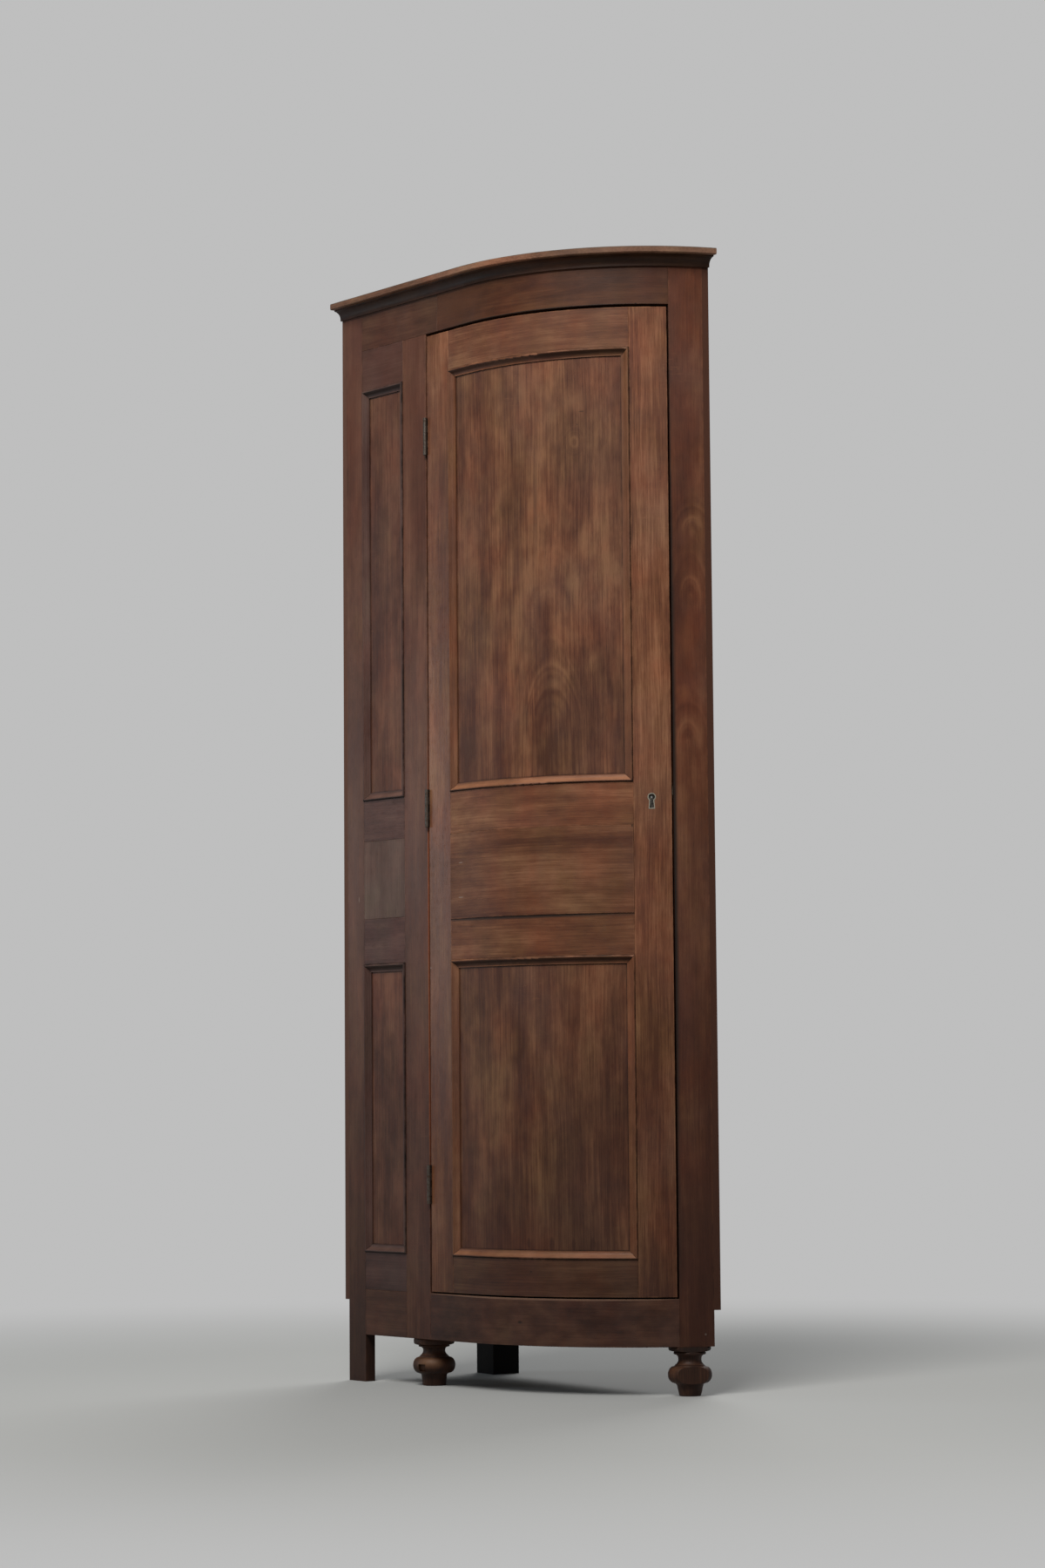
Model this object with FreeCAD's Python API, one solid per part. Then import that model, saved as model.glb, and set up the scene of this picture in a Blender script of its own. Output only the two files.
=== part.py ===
import FreeCAD, Part
import math
import os

from FreeCAD import Placement, Rotation, Vector

# A tall corner cupboard with one bowed door. All sizes are millimetres, all angles degrees.
# The plan is drawn from the corner where the two room walls meet: X runs along the back wall,
# the left wall runs towards -Y, and Z is up from the floor. A place on the front is given by its
# run, the distance along the outer face from the left wall, and its depth behind that face.

# Plan of the cupboard
left_side_length = 360.0
straight_front_length = 388.0
front_slant = 7.5
bow_radius = 426.0

# Heights, from the floor up
foot_height = 89.0
base_rail_height = 86.0
bottom_rail_height = 71.0
lower_panel_height = 550.0
lower_mid_rail_height = 76.0
mid_board_height = 161.0
upper_mid_rail_height = 79.0
upper_panel_height = 805.0
top_rail_height = 80.0
frieze_height = 91.0
top_board_thickness = 12.0
return_mid_board_offset = 11.0

# Members of the front, along its run
leg_post_face_width = 64.0
return_bay_width = 128.0
hinge_post_width = 72.0
door_hinge_stile_width = 64.5
door_lock_stile_width = 70.5
right_post_face_width = 77.0
frieze_overlap_length = 36.0

# Stock and fits
frame_thickness = 22.0
arris_width = 0.5
joint_clearance = 0.1
running_clearance = 0.05
seat_clearance = 0.3
overrun_length = 5.0
face_tolerance = 0.1
tenon_thickness = 8.0
tenon_length = 18.0
tenon_shoulder_height = 12.0

# Panels, middle boards and their mouldings
panel_thickness = 8.0
panel_recess_depth = 7.0
panel_tongue_length = 6.0
door_mid_board_proud_height = 1.5
moulding_width = 15.0
moulding_proud_height = 3.0
bead_width_share = 0.34

# Hollow of the panel moulding: place across its width, height as a share of the panel's recess
hollow_shares = ((0.4, 0.05), (0.6, -0.42), (0.88, -0.66))

# Cornice
cornice_overhang_depth = 27.5
cove_height = 20.0
cove_reach_depth = 18.0
cove_step_depth = 4.5
top_board_arris_width = 1.5

# Walls and inner frame
wall_board_thickness = 12.0
wall_board_bottom_height = 154.0
wall_board_joint_gap = 0.6
left_board_count = 3
back_board_count = 6
back_post_width = 61.0
back_post_depth = 59.0
inner_rail_thickness = 18.0
floor_rail_height = 50.0
top_rail_inner_height = 60.0

# Bottom board, shelves and stops
bottom_board_thickness = 15.0
shelf_thickness = 16.0
shelf_setback_depth = 36.0
shelf_height_shares = (0.2, 0.39, 0.58, 0.77)
batten_height = 20.0
batten_thickness = 18.0
front_batten_thickness = 24.0
stop_thickness = 12.0
stop_lap_width = 8.0
stop_top_lap_width = 10.0
stop_glue_width = 18.0

# Turned feet
foot_bulb_radius = 40.0
foot_tenon_radius = 9.0
foot_tenon_length = 28.0
left_foot_run_length = 220.0
left_foot_depth = 43.0
right_foot_wall_gap = 1.0
right_foot_front_gap = 28.0
foot_block_margin_width = 40.0

# Outline of a foot: radius as a share of the bulb's, height as a share of the foot's
foot_shares = {
    "toe": (0.48, 0.0), "toe_edge": (0.51, 0.03), "ankle": (0.6, 0.22), "bulb_low": (0.66, 0.25),
    "bulb": (1.0, 0.435), "bulb_high": (0.68, 0.62), "neck_low": (0.61, 0.64), "neck": (0.52, 0.73),
    "neck_high": (0.6, 0.82), "ring_low": (0.7, 0.825), "ring": (0.735, 0.86), "ring_high": (0.7, 0.895),
    "cap_low": (0.88, 0.905), "cap": (0.965, 0.95), "cap_high": (0.93, 1.0)}

# Door gaps and hinges
door_hinge_gap = 4.5
door_lock_gap = 3.5
door_bottom_gap = 3.0
door_top_gap = 5.0
hinge_length = 72.0
hinge_leaf_thickness = 1.6
hinge_leaf_depth = 19.0
hinge_knuckle_count = 5
hinge_pin_radius = 2.0
hinge_height_shares = (0.11, 0.5, 0.893)
screw_height_shares = (0.17, 0.5, 0.83)
screw_head_radius = 3.4
screw_shank_radius = 1.7
screw_length = 16.0
screw_point_length = 4.0

# Lock
lock_height_share = 0.499
lock_backset_width = 37.0
lock_case_tail_length = 13.0
lock_case_half_height = 27.0
lock_case_depth = 13.0
lock_wall_thickness = 1.5
lock_plate_lap_height = 9.0
lock_edge_margin_width = 3.5
lock_screw_length = 10.0
bolt_thickness = 6.0
bolt_height = 14.0
bolt_rise_height = 13.0
bolt_tail_length = 8.0
bolt_setback_depth = 1.0
bolt_travel_length = 10.0
drill_pin_radius = 1.6
drill_pin_setback_depth = 3.0
key_round_radius = 6.0
key_neck_half_width = 2.6
key_foot_half_width = 4.2
key_drop_height = 20.0
escutcheon_wall_thickness = 1.5
escutcheon_depth = 5.0
escutcheon_proud_height = 0.4
strike_thickness = 1.2
strike_margin_height = 8.0

# Levels that follow from the stack of heights
base_top = foot_height + base_rail_height
lower_panel_bottom = base_top + bottom_rail_height
lower_panel_top = lower_panel_bottom + lower_panel_height
door_mid_board_bottom = lower_panel_top + lower_mid_rail_height
mid_board_top = door_mid_board_bottom + mid_board_height
upper_panel_bottom = mid_board_top + upper_mid_rail_height
upper_panel_top = upper_panel_bottom + upper_panel_height
frieze_bottom = upper_panel_top + top_rail_height
carcass_top = frieze_bottom + frieze_height
total_height = carcass_top + top_board_thickness
door_bottom = base_top + door_bottom_gap
door_top = frieze_bottom - door_top_gap
bottom_board_bottom = base_top - bottom_board_thickness
screw_head_depth = hinge_leaf_thickness

# The straight front and the bow meet on a common tangent
up = Vector(0, 0, 1)
slant = math.radians(front_slant)
along = Vector(math.cos(slant), math.sin(slant), 0)
inward = Vector(-math.sin(slant), math.cos(slant), 0)
front_corner = Vector(0, -left_side_length, 0)
bow_start = front_corner + along * straight_front_length
bow_centre = bow_start + inward * bow_radius


def front_angle(run):
    """Direction of the front's tangent, in radians from X."""
    return slant + max(run - straight_front_length, 0.0) / bow_radius


def front_point(run, depth, height=0.0):
    """Point at a run along the front and a depth behind its outer face."""
    if run <= straight_front_length:
        point = front_corner + along * run + inward * depth
        return Vector(point.x, point.y, height)
    angle = front_angle(run) - math.pi / 2
    radius = bow_radius - depth
    x = bow_centre.x + radius * math.cos(angle)
    y = bow_centre.y + radius * math.sin(angle)
    return Vector(x, y, height)


def depth_of(point):
    """Depth of a point behind the outer face."""
    offset = Vector(point.x, point.y, 0) - bow_centre
    if offset.dot(along) > 0:
        return bow_radius - offset.Length
    return bow_radius + offset.dot(inward)


def run_at_left_wall(gap, depth):
    """Run where the front, at a depth, meets the plane that lies a gap inside the left wall."""
    return (gap + depth * math.sin(slant)) / math.cos(slant)


def run_at_back_wall(gap, depth):
    """Run where the front, at a depth, meets the plane that lies a gap inside the back wall."""
    rise = (-gap - bow_centre.y) / (bow_radius - depth)
    return straight_front_length + (math.asin(rise) + math.pi / 2 - slant) * bow_radius


# Runs of the members along the front, from the left wall and from the back wall
hinge_post_start = leg_post_face_width + return_bay_width
hinge_post_end = hinge_post_start + hinge_post_width
door_start = hinge_post_end + door_hinge_gap
door_bay_start = door_start + door_hinge_stile_width
right_post_start = run_at_back_wall(0, 0) - right_post_face_width
door_end = right_post_start - door_lock_gap
door_bay_end = door_end - door_lock_stile_width
frieze_joint = hinge_post_end + frieze_overlap_length


def line(start, end):
    """Straight edge between two points."""
    return Part.LineSegment(start, end).toShape()


def arc(start, middle, end):
    """Circular edge through three points."""
    return Part.Arc(start, middle, end).toShape()


def face_of(edges):
    """Flat face inside a ring of edges."""
    return Part.Face(Part.Wire(Part.__sortEdges__(edges)))


def joined(shapes):
    """One clean solid from several that touch or overlap."""
    return shapes[0].fuse(shapes[1:]).removeSplitter()


def box(low, high):
    """Box between two opposite corners."""
    return Part.makeBox(high.x - low.x, high.y - low.y, high.z - low.z, low)


def front_edges(start, end, depth, height):
    """Edges that follow the front from one run to another."""
    edges = []
    if start < straight_front_length:
        stop = min(end, straight_front_length)
        edges.append(line(front_point(start, depth, height), front_point(stop, depth, height)))
    if end > straight_front_length:
        begin = max(start, straight_front_length)
        middle = (begin + end) / 2
        points = [front_point(run, depth, height) for run in (begin, middle, end)]
        edges.append(arc(*points))
    return edges


def front_slab(start, end, outer, inner, bottom, top):
    """Solid that follows the front between two runs, two depths and two heights."""
    edges = front_edges(start, end, outer, bottom) + front_edges(start, end, inner, bottom)
    for run in (start, end):
        edges.append(line(front_point(run, outer, bottom), front_point(run, inner, bottom)))
    return face_of(edges).extrude(up * (top - bottom))


def eased(solid, outer):
    """The solid with the sharp edges of its outer face taken off."""
    edges = []
    for edge in solid.Edges:
        middle = edge.valueAt((edge.FirstParameter + edge.LastParameter) / 2)
        if abs(depth_of(middle) - outer) < face_tolerance:
            edges.append(edge)
    return solid.makeChamfer(arris_width, edges)


def plan_board(depth, gap, bottom, top):
    """Board that fills the plan from both walls to a depth behind the front."""
    start = run_at_left_wall(gap, depth)
    end = run_at_back_wall(gap, depth)
    corner = Vector(gap, -gap, bottom)
    edges = front_edges(start, end, depth, bottom)
    edges.append(line(front_point(end, depth, bottom), corner))
    edges.append(line(corner, front_point(start, depth, bottom)))
    return face_of(edges).extrude(up * (top - bottom))


def clip_to_walls(solid, gap):
    """The part of a solid that lies in front of both walls by a gap."""
    reach = left_side_length + straight_front_length + bow_radius
    return solid.common(box(Vector(gap, -reach, 0), Vector(reach, -gap, total_height)))


def set_on_front(shape, run, height):
    """Move a shape drawn with X along the front and Y inward to a place on the front."""
    turn = Rotation(up, math.degrees(front_angle(run)))
    shape.Placement = Placement(front_point(run, 0, height), turn)
    return shape


# Rails, panels, boards and mouldings between two uprights

class Rail:
    """Rail between two uprights, with a tenon at each end."""

    def __init__(self, start, end, bottom, top):
        self.start = start
        self.end = end
        self.bottom = bottom
        self.top = top

    def tenon(self, clearance):
        """Both tenons in one slab, with a clearance all round."""
        shoulder = min(tenon_shoulder_height, (self.top - self.bottom) / 4)
        outer = (frame_thickness - tenon_thickness) / 2
        return front_slab(
            self.start - tenon_length - clearance, self.end + tenon_length + clearance,
            outer - clearance, outer + tenon_thickness + clearance,
            self.bottom + shoulder - clearance, self.top - shoulder + clearance)

    def solid(self):
        """The rail with its tenons."""
        body = front_slab(self.start, self.end, 0, frame_thickness, self.bottom, self.top)
        return joined([eased(body, 0), self.tenon(0)])


class PanelledBay:
    """Three rails, a middle board and two moulded panels between two uprights."""

    def __init__(self, name, start, end, bottom, top, mid_board_bottom, mid_board_proud):
        self.name = name
        self.start = start
        self.end = end
        self.mid_board_bottom = mid_board_bottom
        self.mid_board_proud = mid_board_proud
        self.rails = {
            "bottom_rail": Rail(start, end, bottom, lower_panel_bottom),
            "lower_mid_rail": Rail(start, end, lower_panel_top, mid_board_bottom),
            "upper_mid_rail": Rail(start, end, mid_board_top, upper_panel_bottom),
            "top_rail": Rail(start, end, upper_panel_top, top)}
        self.panels = {
            "lower": (lower_panel_bottom, lower_panel_top),
            "upper": (upper_panel_bottom, upper_panel_top)}

    def panel(self, bottom, top, clearance):
        """Panel with its tongues, or with a clearance the groove that holds it."""
        reach = panel_tongue_length + clearance
        return front_slab(
            self.start - reach, self.end + reach,
            panel_recess_depth - clearance, panel_recess_depth + panel_thickness + clearance,
            bottom - reach, top + reach)

    def grooves(self):
        """The grooves of both panels."""
        return [self.panel(*span, joint_clearance) for span in self.panels.values()]

    def mortices(self):
        """The mortices of all rails."""
        return [rail.tenon(joint_clearance) for rail in self.rails.values()]

    def pieces(self):
        """Every piece of the bay by its node name."""
        result = {}
        for key, rail in self.rails.items():
            result[f"{self.name}_{key}"] = rail.solid().cut(self.grooves())
        proud = self.mid_board_proud
        board = front_slab(
            self.start, self.end, -proud, frame_thickness - proud, self.mid_board_bottom, mid_board_top)
        result[f"{self.name}_mid_board"] = eased(board, -proud)
        for key, (bottom, top) in self.panels.items():
            panel = self.panel(bottom, top, 0)
            result[f"{self.name}_{key}_panel"] = panel
            result[f"{self.name}_{key}_moulding"] = moulding_frame(self.start, self.end, bottom, top, panel)
        return result


def moulding_section(place):
    """Section of a panel moulding, drawn through place(across, height)."""
    def at(across_share, height):
        return place(across_share * moulding_width, height)

    bead_foot = moulding_proud_height / 3
    hollow = [at(across, height * panel_recess_depth) for across, height in hollow_shares]
    lip_height = hollow_shares[-1][1] * panel_recess_depth
    bottom_outer = at(0, -panel_recess_depth)
    bead_outer = at(0, bead_foot)
    bead_inner = at(bead_width_share, bead_foot)
    lip = at(1, lip_height)
    bottom_inner = at(1, -panel_recess_depth)
    return face_of([
        line(bottom_outer, bead_outer),
        arc(bead_outer, at(bead_width_share / 2, moulding_proud_height), bead_inner),
        line(bead_inner, hollow[0]),
        arc(*hollow),
        line(hollow[2], lip),
        line(lip, bottom_inner),
        line(bottom_inner, bottom_outer)])


def swept_along_front(section, start, end):
    """Solid from a section at each run, straight first and then round the bow."""
    parts = []
    if start < straight_front_length:
        stop = min(end, straight_front_length)
        parts.append(section(start).extrude(along * (stop - start)))
    if end > straight_front_length:
        begin = max(start, straight_front_length)
        turn = math.degrees((end - begin) / bow_radius)
        parts.append(section(begin).revolve(bow_centre, up, turn))
    return joined(parts) if len(parts) > 1 else parts[0]


def mitre_wedge(run, height, side, rise, upright):
    """Prism that takes a moulding off on one side of the mitre at a corner of the panel.

    The corner's inward directions are side along the run and rise along Z.
    """
    reach = moulding_width + overrun_length
    outer_corner = (-side * overrun_length, -rise * overrun_length)
    inner_corner = (side * reach, rise * reach)
    far_corner = (outer_corner[0], inner_corner[1]) if upright else (inner_corner[0], outer_corner[1])
    corners = [outer_corner, inner_corner, far_corner]
    proud = moulding_proud_height + overrun_length
    points = [Vector(x, -proud, z) for x, z in corners]
    prism = Part.Face(Part.makePolygon(points + points[:1])).extrude(Vector(0, proud + frame_thickness, 0))
    return set_on_front(prism, run, height)


def moulding_frame(start, end, bottom, top, panel):
    """Four mitred lengths of moulding that lie on a panel, as separate solids."""
    strips = []
    for run, side in ((start, 1), (end, -1)):
        section = moulding_section(lambda across, height: front_point(run + side * across, -height, bottom))
        strip = section.extrude(up * (top - bottom))
        cutters = [mitre_wedge(run, z, side, rise, False) for z, rise in ((bottom, 1), (top, -1))]
        strips.append(strip.cut(cutters + [panel]))
    for level, rise in ((bottom, 1), (top, -1)):
        strip = swept_along_front(
            lambda station: moulding_section(
                lambda across, height: front_point(station, -height, level + rise * across)),
            start, end)
        cutters = [mitre_wedge(run, level, side, rise, True) for run, side in ((start, 1), (end, -1))]
        strips.append(strip.cut(cutters + [panel]))
    return Part.makeCompound([solid for strip in strips for solid in strip.Solids])


# Front frame of the carcass

def front_frame(return_bay, door_hinges, strike):
    """Posts, frieze and base rails."""
    base_side = Rail(leg_post_face_width, hinge_post_start, foot_height, base_top)
    base_bowed = Rail(hinge_post_end, right_post_start, foot_height, base_top)
    post_tenon_outer = (frame_thickness - tenon_thickness) / 2

    def post_tenon(clearance):
        return front_slab(
            hinge_post_start + tenon_shoulder_height - clearance,
            hinge_post_end - tenon_shoulder_height + clearance,
            post_tenon_outer - clearance, post_tenon_outer + tenon_thickness + clearance,
            frieze_bottom - tenon_shoulder_height, frieze_bottom + tenon_length + clearance)

    frieze_side = Rail(leg_post_face_width, frieze_joint, frieze_bottom, carcass_top)
    frieze_bowed = Rail(frieze_joint, right_post_start, frieze_bottom, carcass_top)
    frieze_side_body = front_slab(
        leg_post_face_width, frieze_joint, 0, frame_thickness, frieze_bottom, carcass_top)
    frieze_side_tenon = frieze_side.tenon(0).common(
        front_slab(0, hinge_post_start, 0, frame_thickness, frieze_bottom, carcass_top))

    leg_end = run_at_left_wall(0, 0)
    leg = clip_to_walls(
        front_slab(leg_end, leg_post_face_width, 0, frame_thickness, 0, carcass_top), wall_board_thickness)
    hinge_body = front_slab(
        hinge_post_start, hinge_post_end, 0, frame_thickness, foot_height, frieze_bottom)
    hinge = joined([eased(hinge_body, 0), post_tenon(0)])
    right_end = run_at_back_wall(0, 0)
    right = clip_to_walls(
        front_slab(right_post_start, right_end, 0, frame_thickness, foot_height, carcass_top),
        wall_board_thickness)

    side_mortices = [base_side.tenon(joint_clearance), frieze_side.tenon(joint_clearance)]
    bowed_mortices = [base_bowed.tenon(joint_clearance), frieze_bowed.tenon(joint_clearance)]
    bay_cuts = return_bay.mortices() + return_bay.grooves()
    hinge_cuts = [side_mortices[0], bowed_mortices[0]] + bay_cuts + door_hinges.post_seats()
    return {
        "left_leg_post": leg.cut(side_mortices + bay_cuts),
        "hinge_post": hinge.cut(hinge_cuts),
        "right_post": right.cut(bowed_mortices + [foot_tenon(right_foot_place(), joint_clearance), strike]),
        "frieze_side": joined([eased(frieze_side_body, 0), frieze_side_tenon]).cut(
            [post_tenon(joint_clearance), bowed_mortices[1]]),
        "frieze_bowed": frieze_bowed.solid(),
        "base_rail_side": base_side.solid(),
        "base_rail_bowed": base_bowed.solid()}


# Walls, posts and rails behind the front

def back_post(clearance, bottom, top):
    """Square post in the corner between the two walls of boards."""
    low = wall_board_thickness
    return box(
        Vector(low, -low - back_post_depth - clearance, bottom),
        Vector(low + back_post_width + clearance, -low, top))


def wall_boards():
    """Upright boards along both walls, with an open joint between neighbours."""
    outline = plan_board(0, 0, wall_board_bottom_height, carcass_top)
    board_width = left_side_length / left_board_count
    left = []
    for number in range(left_board_count):
        low = Vector(0, -(number + 1) * board_width, wall_board_bottom_height)
        high = Vector(wall_board_thickness, -number * board_width - wall_board_joint_gap, carcass_top)
        left.append(box(low, high))
    # The frontmost board runs on to the slanted front
    left.append(box(Vector(0, -left_side_length - overrun_length, wall_board_bottom_height),
                    Vector(wall_board_thickness, -left_side_length, carcass_top)))
    left = left[:-2] + [joined(left[-2:])]
    back_length = front_point(run_at_back_wall(0, 0), 0).x - wall_board_thickness
    board_width = back_length / back_board_count
    back = []
    for number in range(back_board_count):
        start = wall_board_thickness + number * board_width
        low = Vector(start + wall_board_joint_gap, -wall_board_thickness, wall_board_bottom_height)
        back.append(box(low, Vector(start + board_width, 0, carcass_top)))
    return {
        "left_wall_boards": Part.makeCompound([board.common(outline) for board in left]),
        "back_wall_boards": Part.makeCompound([board.common(outline) for board in back])}


def wall_strip(side, thickness, depth, bottom, top):
    """Straight strip along the inside of one wall, from the back post to a depth behind the front."""
    reach = left_side_length + straight_front_length + bow_radius
    near = wall_board_thickness
    if side == "left":
        strip = box(Vector(near, -reach, bottom), Vector(near + thickness, -near - back_post_depth, top))
    else:
        strip = box(Vector(near + back_post_width, -near - thickness, bottom), Vector(reach, -near, top))
    return strip.common(plan_board(depth, near, bottom, top))


def inner_frame():
    """Back corner post and the rails along both walls."""
    pieces = {"back_corner_post": back_post(0, 0, carcass_top)}
    levels = {
        "floor_rail": (bottom_board_bottom - floor_rail_height, bottom_board_bottom),
        "top_rail": (carcass_top - top_rail_inner_height, carcass_top)}
    for side in ("left", "back"):
        for name, (bottom, top) in levels.items():
            pieces[f"{side}_{name}"] = wall_strip(side, inner_rail_thickness, frame_thickness, bottom, top)
    return pieces


# Bottom board, shelves and stops

def shelf_levels():
    """Height of the top face of each shelf."""
    clear_height = carcass_top - base_top
    return [base_top + share * clear_height for share in shelf_height_shares]


def boards_inside():
    """Bottom board, shelves and the battens that carry the shelves."""
    pieces = {}
    bottom = plan_board(frame_thickness, wall_board_thickness, bottom_board_bottom, base_top)
    pieces["bottom_board"] = bottom.cut(back_post(joint_clearance, bottom_board_bottom, base_top))
    names = ("lowest_shelf", "lower_middle_shelf", "upper_middle_shelf", "highest_shelf")
    battens = []
    for name, top in zip(names, shelf_levels()):
        underside = top - shelf_thickness
        shelf = plan_board(shelf_setback_depth, wall_board_thickness + seat_clearance, underside, top)
        pieces[name] = shelf.cut(back_post(seat_clearance, underside, top))
        batten_bottom = underside - batten_height
        for side in ("left", "back"):
            battens.append(wall_strip(
                side, batten_thickness, shelf_setback_depth, batten_bottom, underside))
        battens.append(front_slab(
            leg_post_face_width, hinge_post_end, frame_thickness, frame_thickness + front_batten_thickness,
            batten_bottom, underside))
    pieces["shelf_battens"] = Part.makeCompound(battens)
    return pieces


def door_stops():
    """Strips behind the frieze and the right post that the closed door rests against."""
    outer = frame_thickness + seat_clearance
    inner = outer + stop_thickness
    return {
        "door_stop_right": front_slab(
            right_post_start - stop_lap_width, right_post_start + stop_glue_width, outer, inner,
            base_top, frieze_bottom - stop_top_lap_width),
        "door_stop_top": front_slab(
            hinge_post_end, right_post_start + stop_glue_width, outer, inner,
            frieze_bottom - stop_top_lap_width, frieze_bottom + stop_glue_width)}


# Cornice

def cove_section(station):
    """Hollow moulding under the top board, at a run along the front."""
    def at(reach, height):
        return front_point(station, -reach, carcass_top - cove_height + height)

    step = cove_step_depth / 2
    hollow_start = at(cove_step_depth, step)
    hollow_end = at(cove_reach_depth, cove_height - step)
    middle = (1 - math.sqrt(0.5))
    hollow_middle = at(
        cove_step_depth + middle * (cove_reach_depth - cove_step_depth),
        step + (1 - middle) * (cove_height - 2 * step))
    return face_of([
        line(at(0, 0), at(cove_step_depth, 0)),
        line(at(cove_step_depth, 0), hollow_start),
        arc(hollow_start, hollow_middle, hollow_end),
        line(hollow_end, at(cove_reach_depth, cove_height)),
        line(at(cove_reach_depth, cove_height), at(0, cove_height)),
        line(at(0, cove_height), at(0, 0))])


def cornice():
    """Top board with its eased front edge, and the cove in a straight and a bowed length."""
    board = plan_board(-cornice_overhang_depth, 0, carcass_top, total_height)
    front = [edge for edge in board.Edges if is_front_edge(edge)]
    end = run_at_back_wall(0, -cove_reach_depth) + overrun_length
    side_cove = swept_along_front(cove_section, -cove_reach_depth, straight_front_length)
    bowed_cove = swept_along_front(cove_section, straight_front_length, end)
    return {
        "top_board": board.makeChamfer(top_board_arris_width, front),
        "cornice_cove_side": clip_to_walls(side_cove, 0),
        "cornice_cove_bowed": clip_to_walls(bowed_cove, 0)}


def is_front_edge(edge):
    """Whether a level edge of the top board lies on its front."""
    middle = edge.valueAt((edge.FirstParameter + edge.LastParameter) / 2)
    level = edge.BoundBox.ZLength < top_board_thickness / 2
    return level and abs(depth_of(middle) + cornice_overhang_depth) < face_tolerance


# Turned feet

def left_foot_place():
    """Centre of the foot under the hinge post."""
    return front_point(left_foot_run_length, left_foot_depth)


def right_foot_run():
    """Run of the foot under the right post, where it is clear of the back wall."""
    reach = foot_bulb_radius * foot_shares["cap"][0] + right_foot_wall_gap
    return run_at_back_wall(reach, right_foot_front_gap)


def right_foot_place():
    """Centre of the foot under the right post."""
    return front_point(right_foot_run(), right_foot_front_gap)


def planed_off():
    """What is planed off the right foot, to leave it flush with the front."""
    block = box(
        Vector(-foot_height, -foot_height, -overrun_length),
        Vector(foot_height, 0, foot_height))
    return set_on_front(block, right_foot_run(), 0)


def foot_tenon(place, clearance):
    """Round tenon on top of a foot, or with a clearance its socket."""
    start = Vector(place.x, place.y, foot_height - overrun_length)
    length = foot_tenon_length + overrun_length + clearance
    return Part.makeCylinder(foot_tenon_radius + clearance, length, start)


def turned_foot(place):
    """Foot turned from one piece, with its tenon."""
    def at(name):
        radius_share, height_share = foot_shares[name]
        return Vector(place.x + radius_share * foot_bulb_radius, place.y, height_share * foot_height)

    axis_bottom = Vector(place.x, place.y, 0)
    axis_top = Vector(place.x, place.y, foot_height)
    outline = [
        line(axis_bottom, at("toe")),
        line(at("toe"), at("toe_edge")),
        line(at("toe_edge"), at("ankle")),
        line(at("ankle"), at("bulb_low")),
        arc(at("bulb_low"), at("bulb"), at("bulb_high")),
        line(at("bulb_high"), at("neck_low")),
        arc(at("neck_low"), at("neck"), at("neck_high")),
        line(at("neck_high"), at("ring_low")),
        arc(at("ring_low"), at("ring"), at("ring_high")),
        line(at("ring_high"), at("cap_low")),
        arc(at("cap_low"), at("cap"), at("cap_high")),
        line(at("cap_high"), axis_top),
        line(axis_top, axis_bottom)]
    body = face_of(outline).revolve(place, up, 360)
    return joined([body, foot_tenon(place, 0)])


def feet():
    """Both turned feet and the blocks that take their tenons."""
    left = left_foot_place()
    right = right_foot_place()
    left_block = front_slab(
        left_foot_run_length - foot_block_margin_width, left_foot_run_length + foot_block_margin_width,
        frame_thickness, left_foot_depth + foot_block_margin_width, foot_height, bottom_board_bottom)
    margin = Vector(foot_block_margin_width, foot_block_margin_width, 0)
    low = right - margin
    high = right + margin
    rail_face = -wall_board_thickness - inner_rail_thickness
    right_block = box(
        Vector(low.x, low.y, foot_height), Vector(high.x, rail_face, bottom_board_bottom))
    right_block = right_block.common(
        plan_board(frame_thickness, wall_board_thickness, foot_height, bottom_board_bottom))
    blocks = [
        left_block.cut(foot_tenon(left, joint_clearance)),
        right_block.cut(foot_tenon(right, joint_clearance))]
    return {
        "left_turned_foot": turned_foot(left),
        "right_turned_foot": turned_foot(right).cut(planed_off()),
        "foot_blocks": Part.makeCompound([solid for block in blocks for solid in block.Solids])}


# Hinges

def screw(place, direction, length, clearance):
    """Countersunk wood screw from the middle of its head, or with a clearance its hole."""
    head = Part.makeCone(
        screw_head_radius + clearance, screw_shank_radius + clearance, screw_head_depth, place, direction)
    shank_length = length - screw_head_depth - screw_point_length
    shank_start = place + direction * screw_head_depth
    shank = Part.makeCylinder(screw_shank_radius + clearance, shank_length, shank_start, direction)
    point_start = shank_start + direction * shank_length
    point = Part.makeCone(
        screw_shank_radius + clearance, screw_shank_radius / 4, screw_point_length, point_start, direction)
    return joined([head, shank, point])


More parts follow.
